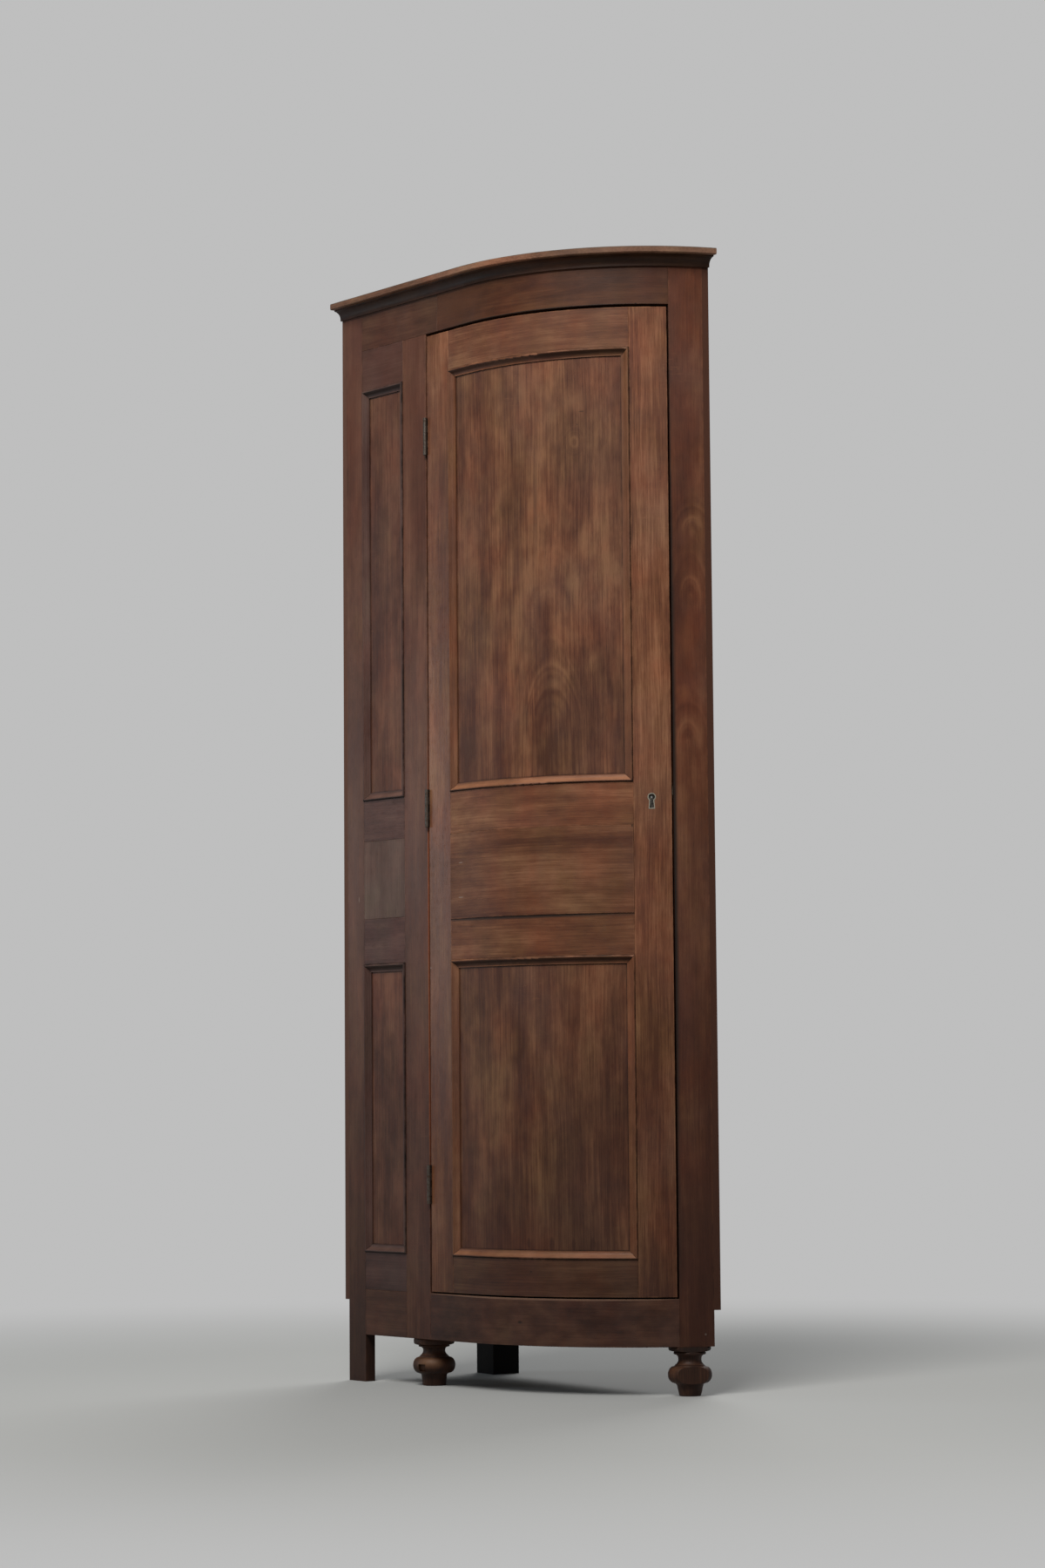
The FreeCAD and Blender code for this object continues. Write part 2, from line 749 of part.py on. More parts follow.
class DoorHinges:
    """Three butt hinges between the hinge post and the door's hinge stile."""

    def __init__(self):
        self.knuckle_radius = door_hinge_gap / 2 + hinge_leaf_thickness
        self.pin_run = hinge_post_end + door_hinge_gap / 2
        self.pin_depth = -self.knuckle_radius
        door_height = door_top - door_bottom
        self.bottoms = [
            door_bottom + share * door_height - hinge_length / 2 for share in hinge_height_shares]

    def leaf_runs(self, on_door):
        """Runs between which a leaf lies, let into the wood beside the gap."""
        if on_door:
            return door_start, door_start + hinge_leaf_thickness
        return hinge_post_end - hinge_leaf_thickness, hinge_post_end

    def leaf(self, bottom, on_door):
        """One leaf with its share of the knuckles, bored for the pin."""
        start, end = self.leaf_runs(on_door)
        parts = [front_slab(start, end, seat_clearance, hinge_leaf_depth, bottom, bottom + hinge_length)]
        step = hinge_length / hinge_knuckle_count
        for number in range(1 if on_door else 0, hinge_knuckle_count, 2):
            low = bottom + number * step + seat_clearance / 2
            height = step - seat_clearance
            centre = front_point(self.pin_run, self.pin_depth, low)
            parts.append(Part.makeCylinder(self.knuckle_radius, height, centre))
            parts.append(front_slab(start, end, self.pin_depth, seat_clearance, low, low + height))
        bore_start = front_point(self.pin_run, self.pin_depth, bottom - overrun_length)
        bore_length = hinge_length + 2 * overrun_length
        bore = Part.makeCylinder(hinge_pin_radius + running_clearance, bore_length, bore_start)
        return joined(parts).cut([bore] + self.screws(bottom, on_door, joint_clearance))

    def screws(self, bottom, on_door, clearance):
        """Three screws through a leaf."""
        start, end = self.leaf_runs(on_door)
        run, direction = (start, along) if on_door else (end, along * -1)
        depth = hinge_leaf_depth / 2
        heights = [bottom + share * hinge_length for share in screw_height_shares]
        places = [front_point(run, depth, height) for height in heights]
        return [screw(place, direction, screw_length, clearance) for place in places]

    def seats(self, on_door):
        """Housings and screw holes that the hinges need in one upright."""
        start, end = self.leaf_runs(on_door)
        cuts = []
        for bottom in self.bottoms:
            low, high = (start - overrun_length, end) if on_door else (start, end + overrun_length)
            cuts.append(front_slab(
                low, high, -overrun_length, hinge_leaf_depth + joint_clearance,
                bottom - joint_clearance, bottom + hinge_length + joint_clearance))
            cuts += self.screws(bottom, on_door, joint_clearance)
        return cuts

    def post_seats(self):
        """Cuts in the hinge post."""
        return self.seats(False)

    def door_seats(self):
        """Cuts in the door's hinge stile."""
        return self.seats(True)

    def pieces(self):
        """Leaves, pins and screws, the same pieces of all three hinges in one node."""
        pins = []
        for bottom in self.bottoms:
            centre = front_point(self.pin_run, self.pin_depth, bottom)
            pins.append(Part.makeCylinder(hinge_pin_radius, hinge_length, centre))
        result = {"hinge_pins": Part.makeCompound(pins)}
        for side, on_door in (("post", False), ("door", True)):
            leaves = [self.leaf(bottom, on_door) for bottom in self.bottoms]
            screws = [one for bottom in self.bottoms for one in self.screws(bottom, on_door, 0)]
            result[f"hinge_{side}_leaves"] = Part.makeCompound([leaf.Solids[0] for leaf in leaves])
            result[f"hinge_{side}_screws"] = Part.makeCompound(screws)
        return result


# Lock

class DoorLock:
    """Lock let into the back of the lock stile, with its keyhole, bolt and strike plate.

    Its pieces are drawn with X along the front, Y inward and Z up from the keyhole's centre.
    """

    def __init__(self):
        self.run = door_end - lock_backset_width
        self.height = door_bottom + lock_height_share * (door_top - door_bottom)
        self.case_start = -lock_case_tail_length
        self.case_end = lock_backset_width - lock_edge_margin_width
        self.case_front = frame_thickness - lock_case_depth
        self.bolt_front = self.case_front + (lock_case_depth - bolt_thickness) / 2
        self.bolt_low = bolt_rise_height - bolt_height / 2

    def placed(self, shape):
        """A shape moved from the keyhole's centre to its place on the door."""
        return set_on_front(shape, self.run, self.height)

    def case_box(self, inset):
        """Outside of the case, or with an inset its hollow."""
        return box(
            Vector(self.case_start + inset, self.case_front + inset, -lock_case_half_height + inset),
            Vector(self.case_end - inset, frame_thickness - inset, lock_case_half_height - inset))

    def plate(self, clearance, reach):
        """Back plate, wider than the case above and below, or with a reach its open seat."""
        half_height = lock_case_half_height + lock_plate_lap_height + clearance
        return box(
            Vector(self.case_start - clearance, frame_thickness - lock_wall_thickness, -half_height),
            Vector(self.case_end + clearance, frame_thickness + reach, half_height))

    def bolt(self, travel, clearance):
        """The bolt, with a clearance all round and drawn out by a travel."""
        end = lock_backset_width - bolt_setback_depth + travel
        return box(
            Vector(-bolt_tail_length - clearance, self.bolt_front - clearance, self.bolt_low - clearance),
            Vector(end + clearance, self.bolt_front + bolt_thickness + clearance,
                   self.bolt_low + bolt_height + clearance))

    def keyhole(self, grow, start, end):
        """Keyhole with a round head and a splayed foot, between two depths."""
        depth = Vector(0, end - start, 0)
        head = Part.makeCylinder(key_round_radius + grow, end - start, Vector(0, start, 0), Vector(0, 1, 0))
        neck = key_neck_half_width + grow
        splay = key_foot_half_width + grow
        drop = key_drop_height + grow
        corners = [(-neck, 0), (neck, 0), (splay, -drop), (-splay, -drop)]
        points = [Vector(x, start, z) for x, z in corners]
        foot = Part.Face(Part.makePolygon(points + points[:1])).extrude(depth)
        return joined([head, foot])

    def screws(self, clearance):
        """Four screws through the back plate."""
        places = []
        inset = lock_plate_lap_height / 2
        for x in (self.case_start + inset, self.case_end - inset):
            for side in (-1, 1):
                z = side * (lock_case_half_height + inset)
                places.append(Vector(x, frame_thickness, z))
        return [screw(place, Vector(0, -1, 0), lock_screw_length, clearance) for place in places]

    def stile_seat(self):
        """Everything that is cut out of the lock stile."""
        pocket = self.case_box(-joint_clearance).fuse(
            self.case_box(0).translated(Vector(0, overrun_length, 0)))
        cuts = [
            pocket, self.plate(joint_clearance, overrun_length),
            self.bolt(bolt_travel_length, seat_clearance),
            self.keyhole(
                escutcheon_wall_thickness + joint_clearance, -overrun_length,
                escutcheon_depth + joint_clearance),
            self.keyhole(0, 0, frame_thickness)]
        return [self.placed(cut) for cut in cuts + self.screws(joint_clearance)]

    def strike_seat(self):
        """Room in the right post for the strike plate and the end of the bolt."""
        bolt_room = self.placed(self.bolt(bolt_travel_length, 2 * seat_clearance))
        return self.strike_box(joint_clearance).fuse(bolt_room)

    def strike_box(self, clearance):
        """Strike plate before its slot is cut, on the edge of the right post."""
        shape = box(
            Vector(-clearance, self.bolt_front - bolt_thickness / 2, -strike_margin_height),
            Vector(strike_thickness + clearance, self.bolt_front + bolt_thickness + bolt_thickness / 2,
                   bolt_height + strike_margin_height))
        return set_on_front(shape, right_post_start, self.height + self.bolt_low)

    def pieces(self):
        """Case, bolt, drill pin, escutcheon, strike plate and screws."""
        case = self.case_box(0).fuse(self.plate(0, 0))
        case = case.cut([self.case_box(lock_wall_thickness), self.bolt(bolt_travel_length, seat_clearance)])
        keyhole = self.keyhole(0, 0, self.case_front + 2 * lock_wall_thickness)
        case = case.cut([keyhole] + self.screws(joint_clearance))
        pin_end = frame_thickness - lock_wall_thickness
        pin = Part.makeCylinder(
            drill_pin_radius, pin_end - drill_pin_setback_depth,
            Vector(0, drill_pin_setback_depth, 0), Vector(0, 1, 0))
        ring = self.keyhole(escutcheon_wall_thickness, -escutcheon_proud_height, escutcheon_depth).cut(
            self.keyhole(0, -overrun_length, frame_thickness))
        strike = self.strike_box(0).cut(self.placed(self.bolt(bolt_travel_length, seat_clearance)))
        return {
            "lock_case": self.placed(case),
            "lock_bolt": self.placed(self.bolt(0, 0)),
            "lock_drill_pin": self.placed(pin),
            "key_escutcheon": self.placed(ring),
            "lock_screws": Part.makeCompound([self.placed(one) for one in self.screws(0)]),
            "strike_plate": strike}


# Door

def door(door_bay, door_hinges, door_lock):
    """Stiles of the door; its rails, boards, panels and mouldings come from its bay."""
    cuts = door_bay.mortices() + door_bay.grooves()
    hinge_stile = eased(front_slab(door_start, door_bay_start, 0, frame_thickness, door_bottom, door_top), 0)
    lock_stile = eased(front_slab(door_bay_end, door_end, 0, frame_thickness, door_bottom, door_top), 0)
    return {
        "door_hinge_stile": hinge_stile.cut(cuts + door_hinges.door_seats()),
        "door_lock_stile": lock_stile.cut(cuts + door_lock.stile_seat())}


def build():
    """Every node's shape, in the plan's own coordinates."""
    return_bay = PanelledBay(
        "return", leg_post_face_width, hinge_post_start, base_top, frieze_bottom,
        door_mid_board_bottom + return_mid_board_offset, 0)
    door_bay = PanelledBay(
        "door", door_bay_start, door_bay_end, door_bottom, door_top,
        door_mid_board_bottom, door_mid_board_proud_height)
    door_hinges = DoorHinges()
    door_lock = DoorLock()
    nodes = front_frame(return_bay, door_hinges, door_lock.strike_seat())
    nodes.update(return_bay.pieces())
    nodes.update(door(door_bay, door_hinges, door_lock))
    nodes.update(door_bay.pieces())
    for group in (wall_boards, inner_frame, boards_inside, door_stops, cornice, feet):
        nodes.update(group())
    nodes.update(door_hinges.pieces())
    nodes.update(door_lock.pieces())
    return nodes


def main():
    """Build the cupboard and write each node with the origin under the middle of its plan."""
    os.makedirs("parts", exist_ok=True)
    nodes = build()
    front_left = front_point(run_at_left_wall(0, -cornice_overhang_depth), -cornice_overhang_depth)
    back_right = front_point(run_at_back_wall(0, -cornice_overhang_depth), -cornice_overhang_depth)
    origin = Vector(back_right.x / 2, front_left.y / 2, 0)
    print("plan", back_right.x, "x", -front_left.y, "height", total_height)
    print("origin in the plan", origin.x, origin.y)
    for name, shape in nodes.items():
        moved = shape.translated(origin * -1)
        solids = moved.Solids
        print(name, len(solids), "valid" if moved.isValid() else "INVALID", round(moved.Volume))
        moved.exportStep(f"parts/{name}.step")


main()
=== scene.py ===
"""Looks of an old bow-fronted corner cupboard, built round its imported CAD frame."""

import logging
import math
from dataclasses import dataclass, field
from enum import Enum
from typing import Any, Callable, Optional, Union

import bpy
from mathutils import Matrix, Vector


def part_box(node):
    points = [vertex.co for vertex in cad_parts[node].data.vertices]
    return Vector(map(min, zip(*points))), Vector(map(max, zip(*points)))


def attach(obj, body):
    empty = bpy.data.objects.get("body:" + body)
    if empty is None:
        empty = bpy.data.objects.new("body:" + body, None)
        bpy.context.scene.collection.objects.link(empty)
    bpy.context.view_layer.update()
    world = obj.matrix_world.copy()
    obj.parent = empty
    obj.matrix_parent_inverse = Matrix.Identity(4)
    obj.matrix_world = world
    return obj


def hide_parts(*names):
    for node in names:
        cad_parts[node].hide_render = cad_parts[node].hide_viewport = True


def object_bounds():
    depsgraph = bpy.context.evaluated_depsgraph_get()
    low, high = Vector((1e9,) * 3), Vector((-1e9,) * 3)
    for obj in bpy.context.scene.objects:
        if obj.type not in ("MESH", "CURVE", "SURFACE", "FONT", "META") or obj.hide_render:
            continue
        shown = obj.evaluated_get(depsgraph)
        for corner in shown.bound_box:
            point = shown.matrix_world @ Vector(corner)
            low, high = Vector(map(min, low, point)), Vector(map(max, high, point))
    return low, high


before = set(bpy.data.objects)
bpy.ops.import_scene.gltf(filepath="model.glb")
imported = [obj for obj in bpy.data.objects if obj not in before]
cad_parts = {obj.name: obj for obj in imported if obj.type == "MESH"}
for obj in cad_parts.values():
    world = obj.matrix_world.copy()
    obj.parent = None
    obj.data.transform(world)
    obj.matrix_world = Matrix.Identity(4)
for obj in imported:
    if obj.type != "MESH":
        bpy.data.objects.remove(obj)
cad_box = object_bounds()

log = logging.getLogger("cupboard")

Colour = tuple[float, float, float]
Number = Union[float, "Value"]
Ring = tuple[float, float]
Reach = tuple[float, float]

WHITE: Colour = (1.0, 1.0, 1.0)


def times(colour: Colour, factor: float) -> Colour:
    """A colour made lighter or darker by a factor."""
    return tuple(part * factor for part in colour)


# The plan of the front

@dataclass(frozen=True)
class FrontPlan:
    """The front in plan: straight from the left wall, then bowed to the back wall.

    A place on it is given by its run along the outer face, its depth behind that face and its height.
    """

    room_corner: Vector
    left_side: float = 0.360
    straight_front: float = 0.388
    slant: float = math.radians(7.5)
    bow_radius: float = 0.426

    @property
    def along(self) -> Vector:
        """Direction of the straight stretch."""
        return Vector((math.cos(self.slant), math.sin(self.slant), 0.0))

    @property
    def inward(self) -> Vector:
        """Direction from the straight stretch into the cupboard."""
        return Vector((-math.sin(self.slant), math.cos(self.slant), 0.0))

    @property
    def bow_start(self) -> Vector:
        """Point where the straight stretch runs on into the bow."""
        corner = self.room_corner + Vector((0.0, -self.left_side, 0.0))
        return corner + self.along * self.straight_front

    @property
    def bow_centre(self) -> Vector:
        """Centre of the bow."""
        return self.bow_start + self.inward * self.bow_radius

    def point(self, run: float, depth: float, height: float) -> Vector:
        """A place on the front as a point.

        Args:
            run: distance along the outer face.
            depth: distance behind it.
            height: distance above the floor.

        Returns:
            The point in the frame of the part.
        """
        beyond = run - self.straight_front
        if beyond <= 0.0:
            place = self.bow_start + self.along * beyond + self.inward * depth
        else:
            turn = beyond / self.bow_radius
            spoke = self.along * math.sin(turn) - self.inward * math.cos(turn)
            place = self.bow_centre + spoke * (self.bow_radius - depth)
        return Vector((place.x, place.y, height))

    def outward(self, run: float) -> Vector:
        """Direction that the outer face looks in at a run."""
        turn = max(run - self.straight_front, 0.0) / self.bow_radius
        return self.along * math.sin(turn) - self.inward * math.cos(turn)

    def run_and_depth(self, point: Vector) -> tuple[float, float]:
        """Where a point lies in plan.

        Args:
            point: a point in the frame of the part.

        Returns:
            Its run and its depth.
        """
        offset = point - self.bow_centre
        forward, out = offset.dot(self.along), -offset.dot(self.inward)
        if forward <= 0.0:
            return self.straight_front + forward, self.bow_radius - out
        turn = math.atan2(forward, out)
        return self.straight_front + turn * self.bow_radius, self.bow_radius - math.hypot(forward, out)

    def shader_place(self, graph: "Graph") -> tuple["Value", "Value", "Value"]:
        """Where the shaded point lies, worked out in a material.

        Args:
            graph: the material's nodes.

        Returns:
            Its run, its depth and its height.
        """
        x, y, z = graph.object_place()
        dx, dy = x - self.bow_centre.x, y - self.bow_centre.y
        forward = dx * self.along.x + dy * self.along.y
        out = -(dx * self.inward.x + dy * self.inward.y)
        bowed = forward > 0.0
        turn = graph.math("ARCTAN2", forward, out)
        run = graph.choose(bowed, turn * self.bow_radius, forward) + self.straight_front
        depth = self.bow_radius - graph.choose(bowed, graph.distance(forward, out), out)
        return run, depth, z


plan = FrontPlan(room_corner=Vector((cad_box[0].x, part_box("back_wall_boards")[1].y, 0.0)))


# Shader nodes as expressions

class Value:
    """A number that a shader works out, so that it can stand in a Python expression."""

    def __init__(self, graph: "Graph", socket: bpy.types.NodeSocket) -> None:
        """Wraps one output socket of a graph's node."""
        self.graph = graph
        self.socket = socket

    def __add__(self, other: Number) -> "Value":
        """Sum."""
        return self.graph.math("ADD", self, other)

    __radd__ = __add__

    def __mul__(self, other: Number) -> "Value":
        """Product."""
        return self.graph.math("MULTIPLY", self, other)

    __rmul__ = __mul__

    def __sub__(self, other: Number) -> "Value":
        """Difference."""
        return self.graph.math("SUBTRACT", self, other)

    def __rsub__(self, other: Number) -> "Value":
        """Difference from a number."""
        return self.graph.math("SUBTRACT", other, self)

    def __truediv__(self, other: Number) -> "Value":
        """Quotient."""
        return self.graph.math("DIVIDE", self, other)

    def __neg__(self) -> "Value":
        """Opposite."""
        return self.graph.math("MULTIPLY", self, -1.0)

    def __abs__(self) -> "Value":
        """Size without its sign."""
        return self.graph.math("ABSOLUTE", self)

    def __lt__(self, other: Number) -> "Value":
        """One where it is less, else zero."""
        return self.graph.math("LESS_THAN", self, other)

    def __gt__(self, other: Number) -> "Value":
        """One where it is more, else zero."""
        return self.graph.math("GREATER_THAN", self, other)

    def within(self) -> "Value":
        """Held between zero and one."""
        return self.graph.math("ADD", self, 0.0, clamp=True)

    def ramp(self, start: float, end: float) -> "Value":
        """Zero at the start, one at the end, straight between."""
        return ((self - start) * (1.0 / (end - start))).within()


class Graph:
    """The node tree of one material, or of the world."""

    def __init__(self, owner: Union[bpy.types.Material, bpy.types.World]) -> None:
        """Empties the node tree of its owner.

        Args:
            owner: the material or the world.
        """
        self.owner = owner
        self.owner.use_nodes = True
        self.tree = owner.node_tree
        self.tree.nodes.clear()

    @classmethod
    def material(cls, name: str) -> "Graph":
        """Starts a new material."""
        return cls(bpy.data.materials.new(name))

    def node(self, kind: str, settings: Optional[dict[str, Any]] = None,
             inputs: Optional[dict[Union[str, int], Any]] = None) -> bpy.types.Node:
        """Adds a node.

        Args:
            kind: the node's type.
            settings: its properties, set first; stops are a ramp's places and colours.
            inputs: values or links of its sockets, by name or number.

        Returns:
            The node.
        """
        made = self.tree.nodes.new(kind)
        for key, setting in (settings or {}).items():
            if key == "stops":
                self._set_stops(made.color_ramp, setting)
            else:
                setattr(made, key, setting)
        for key, entry in (inputs or {}).items():
            if isinstance(entry, Value):
                self.tree.links.new(entry.socket, made.inputs[key])
            else:
                made.inputs[key].default_value = entry
        return made

    @staticmethod
    def _set_stops(ramp: bpy.types.ColorRamp, stops: list[tuple[float, Colour]]) -> None:
        """Gives a ramp its stops.

        Args:
            ramp: the ramp.
            stops: place and colour of each stop.
        """
        while len(ramp.elements) < len(stops):
            ramp.elements.new(0.5)
        for element, (place, colour) in zip(ramp.elements, stops):
            element.position = place
            element.color = (*colour, 1.0)

    def output(self, made: bpy.types.Node, socket: Union[str, int] = 0) -> Value:
        """One output of a node as a value."""
        return Value(self, made.outputs[socket])

    def math(self, operation: str, first: Number, second: Number = 0.0, clamp: bool = False) -> Value:
        """Works out one operation on numbers."""
        settings = {"operation": operation, "use_clamp": clamp}
        return self.output(self.node("ShaderNodeMath", settings, {0: first, 1: second}))

    def distance(self, first: Value, second: Value) -> Value:
        """How far a place, given by two numbers, lies from the origin."""
        return self.math("SQRT", first * first + second * second)

    def choose(self, factor: Number, chosen: Number, other: Number) -> Value:
        """Blends two numbers: the first where the factor is one, the second where it is zero."""
        inputs = {0: factor, 2: other, 3: chosen}
        return self.output(self.node("ShaderNodeMix", {"data_type": "FLOAT"}, inputs))

    def parts(self, vector: Value) -> tuple[Value, Value, Value]:
        """X, Y and Z of a vector."""
        split = self.node("ShaderNodeSeparateXYZ", inputs={0: vector})
        return tuple(Value(self, socket) for socket in split.outputs)

    def object_place(self) -> tuple[Value, Value, Value]:
        """X, Y and Z of the shaded point in the frame of the part."""
        return self.parts(self.output(self.node("ShaderNodeTexCoord"), "Object"))

    def normal(self) -> tuple[Value, Value, Value]:
        """X, Y and Z of the direction that the surface looks in."""
        return self.parts(self.output(self.node("ShaderNodeNewGeometry"), "Normal"))

    def vector(self, x: Number, y: Number, z: Number) -> Value:
        """Three numbers as one vector."""
        return self.output(self.node("ShaderNodeCombineXYZ", inputs={0: x, 1: y, 2: z}))

    def noise(self, place: Value, detail: float = 2.0, roughness: float = 0.5, line: bool = False) -> Value:
        """Cloudy noise about one half, of one cloud per unit of place.

        Args:
            place: a vector, or one number for noise along a line.
            detail: how many finer layers it has.
            roughness: how strong those layers are.
            line: whether the place is one number.

        Returns:
            The noise.
        """
        dimensions, socket = ("1D", "W") if line else ("3D", "Vector")
        made = self.node("ShaderNodeTexNoise", {"noise_dimensions": dimensions}, {
            socket: place, "Scale": 1.0, "Detail": detail, "Roughness": roughness})
        return self.output(made, "Fac")

    def ramp(self, factor: Value, stops: list[tuple[float, Colour]]) -> Value:
        """Colour from a number."""
        return self.output(self.node("ShaderNodeValToRGB", {"stops": stops}, {0: factor}), "Color")

    def blend(self, factor: Number, under: Union[Value, Colour], over: Union[Value, Colour],
              mode: str = "MIX") -> Value:
        """Blends a colour over another.

        Args:
            factor: how much of the upper colour there is.
            under: the lower colour.
            over: the upper colour.
            mode: how they blend.

        Returns:
            The blended colour.
        """
        under, over = (
            colour if isinstance(colour, Value) else (*colour, 1.0) for colour in (under, over))
        settings = {"data_type": "RGBA", "blend_type": mode}
        return self.output(self.node("ShaderNodeMix", settings, {0: factor, 6: under, 7: over}), 2)

    def scaled(self, colour: Value, factor: Value) -> Value:
        """A colour times a number."""
        return self.output(self.node(
            "ShaderNodeVectorMath", {"operation": "SCALE"}, {0: colour, "Scale": factor}))

    def shader(self, colour: Value, roughness: Value, height: Value, metallic: float = 0.0,
               relief: float = 0.0004, strength: float = 0.5, shine: float = 0.18) -> Value:
        """The surface itself.

        Args:
            colour: base colour.
            roughness: roughness.
            height: relief of the surface, from zero to one.
            metallic: one for a metal.
            relief: depth in metres that the height stands for.
            strength: strength of the bump.
            shine: specular level, low for a dry old polish.

        Returns:
            The shader.
        """
        bump = self.node("ShaderNodeBump", inputs={
            "Strength": strength, "Distance": relief, "Height": height})
        return self.output(self.node("ShaderNodeBsdfPrincipled", inputs={
            "Base Color": colour, "Roughness": roughness, "Metallic": metallic,
            "Specular IOR Level": shine, "Normal": self.output(bump, "Normal")}), "BSDF")

    def closed(self, surface: Value) -> bpy.types.Material:
        """Closes the material with its surface."""
        self.node("ShaderNodeOutputMaterial", inputs={"Surface": surface})
        return self.owner


# Woods

class Grain(Enum):
    """Which way the grain of a board runs."""

    UP_FRONT = "upright, in a board that follows the front"
    ALONG_FRONT = "along the front"
    ROUND_PANEL = "along each length of a mitred moulding"
    UPRIGHT = "upright"
    UP_LEFT_WALL = "upright, in boards along the left wall"
    UP_BACK_WALL = "upright, in boards along the back wall"
    ALONG_X = "level, along the back wall"
    ALONG_Y = "level, along the left wall"


@dataclass(frozen=True)
class Tone:
    """Colours of a wood, from its dark lines to its light ones."""

    dark: Colour
    middle: Colour
    light: Colour

    def times(self, factor: float) -> "Tone":
        """The same wood, lighter or darker."""
        return Tone(times(self.dark, factor), times(self.middle, factor), times(self.light, factor))


@dataclass(frozen=True)
class GrainNoise:
    """Noise drawn out along the grain, in clouds a metre across it and along it."""

    across: float
    along: float
    detail: float
    shift: float
    roughness: float = 0.5
    gain: float = 1.0


@dataclass(frozen=True)
class FaceNoise:
    """Noise over two directions of a board, in clouds a metre along each."""

    first: float
    second: float
    detail: float
    roughness: float = 0.6


STREAKS = GrainNoise(330.0, 8.0, 5.0, 1.7, 0.75, gain=3.2)
RIBBONS = GrainNoise(80.0, 3.2, 3.0, 3.1, 0.6, gain=1.2)
MOTTLE = GrainNoise(44.0, 26.0, 2.0, 5.3, gain=1.9)
DRIFT = GrainNoise(17.0, 3.2, 2.0, 4.7, gain=3.4)
PORES = GrainNoise(1300.0, 60.0, 1.0, 7.9)
SWAY = FaceNoise(5.0, 1.7, 2.0, 0.5)
STAINS = FaceNoise(5.0, 3.2, 4.0)
HUES = FaceNoise(9.0, 6.0, 4.0)
BREAKS = FaceNoise(30.0, 30.0, 3.0)
SCRATCHES = FaceNoise(9.0, 110.0, 2.0, 0.5)


@dataclass(frozen=True)
class Figure:
    """Growth rings that the saw has laid open as nested arches about a centre line.

    Attributes:
        centre: where the centre line lies across the grain.
        peak: where the arches end along the grain.
        tilt: how flat the saw cut the rings; the arches are as much longer than wide as this is small.
        wander: how far the rings stray, and wander_rate how often.
        rings: rings to a metre.
        strength: how clearly they show.
        reach: how far they reach from the centre line; the fades are shares of it.
        whole: whether the rings close, as round a knot.
    """

    centre: float
    peak: float
    tilt: float = 0.28
    wander: float = 0.03
    wander_rate: float = 3.0
    rings: float = 60.0
    strength: float = 0.5
    reach: float = 0.11
    whole: bool = False
    gain: float = 3.6
    ring_detail: float = 3.0
    ring_roughness: float = 0.6
    fade_start: float = 0.5
    fade_end: float = 1.3
    head_fade: float = 0.25

    def growth(self, graph: Graph, across: Value, lengthwise: Value, seed: float) -> Value:
        """How much lighter or darker the rings make the wood.

        Args:
            graph: the material's nodes.
            across: place across the grain.
            lengthwise: place along the grain.
            seed: where the board's pattern is cut from.

        Returns:
            The change, about zero.
        """
        stray = graph.noise(lengthwise * self.wander_rate + seed, line=True) - 0.5
        rise = (lengthwise - self.peak) * self.tilt + stray * (2.0 * self.wander)
        ring = graph.distance(across - self.centre, rise)
        fade = 1.0 - ring.ramp(self.reach * self.fade_start, self.reach * self.fade_end)
        if not self.whole:
            fade = fade * rise.ramp(-self.head_fade * self.reach, self.head_fade * self.reach)
        lines = graph.noise(ring * self.rings + seed, self.ring_detail, self.ring_roughness, line=True)
        return (lines - 0.5) * fade * (self.gain * self.strength)


@dataclass(frozen=True)
class Mark:
    """A stain, rub, nick or nail, or a painted shadow, shade or sheen, on a board's face, at a run and a
    height, with its half sizes.

    Softness is the share of it that fades out, ragged how torn its outline is, and sunk how deep it lies.
    """

    run: float
    height: float
    half_run: float
    half_height: float
    colour: Colour
    strength: float = 0.8
    softness: float = 0.45
    ragged: float = 0.5
    sunk: float = 0.0


@dataclass(frozen=True)
class Haze(Mark):
    """A broad mark that fades out from its middle."""

    softness: float = 0.95
    ragged: float = 0.8


@dataclass(frozen=True)
class Span:
    """Where a board's outer face starts and ends."""

    start: float
    end: float
    bottom: float
    top: float
    depth: float

    @classmethod
    def of(cls, node: str, inset: float = 0.0, skin: float = 0.0006) -> "Span":
        """Reads a node's span from its mesh.

        Args:
            node: name of the node.
            inset: how much of its face other pieces cover all round.
            skin: how far behind the outermost point a point still counts as on the face.

        Returns:
            The span.
        """
        points = [vertex.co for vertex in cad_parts[node].data.vertices]
        places = [(*plan.run_and_depth(point), point.z) for point in points]
        outer = min(depth for _, depth, _ in places)
        face = [(run, height) for run, depth, height in places if depth < outer + skin]
        runs, heights = [run for run, _ in face], [height for _, height in face]
        return cls(min(runs) + inset, max(runs) - inset, min(heights) + inset, max(heights) - inset, outer)

    def margins(self, graph: Graph, run: Value, height: Value) -> tuple[Value, Value]:
        """Distance to the nearer end, and to the nearer of bottom and top."""
        return (graph.math("MINIMUM", run - self.start, self.end - run),
                graph.math("MINIMUM", height - self.bottom, self.top - height))


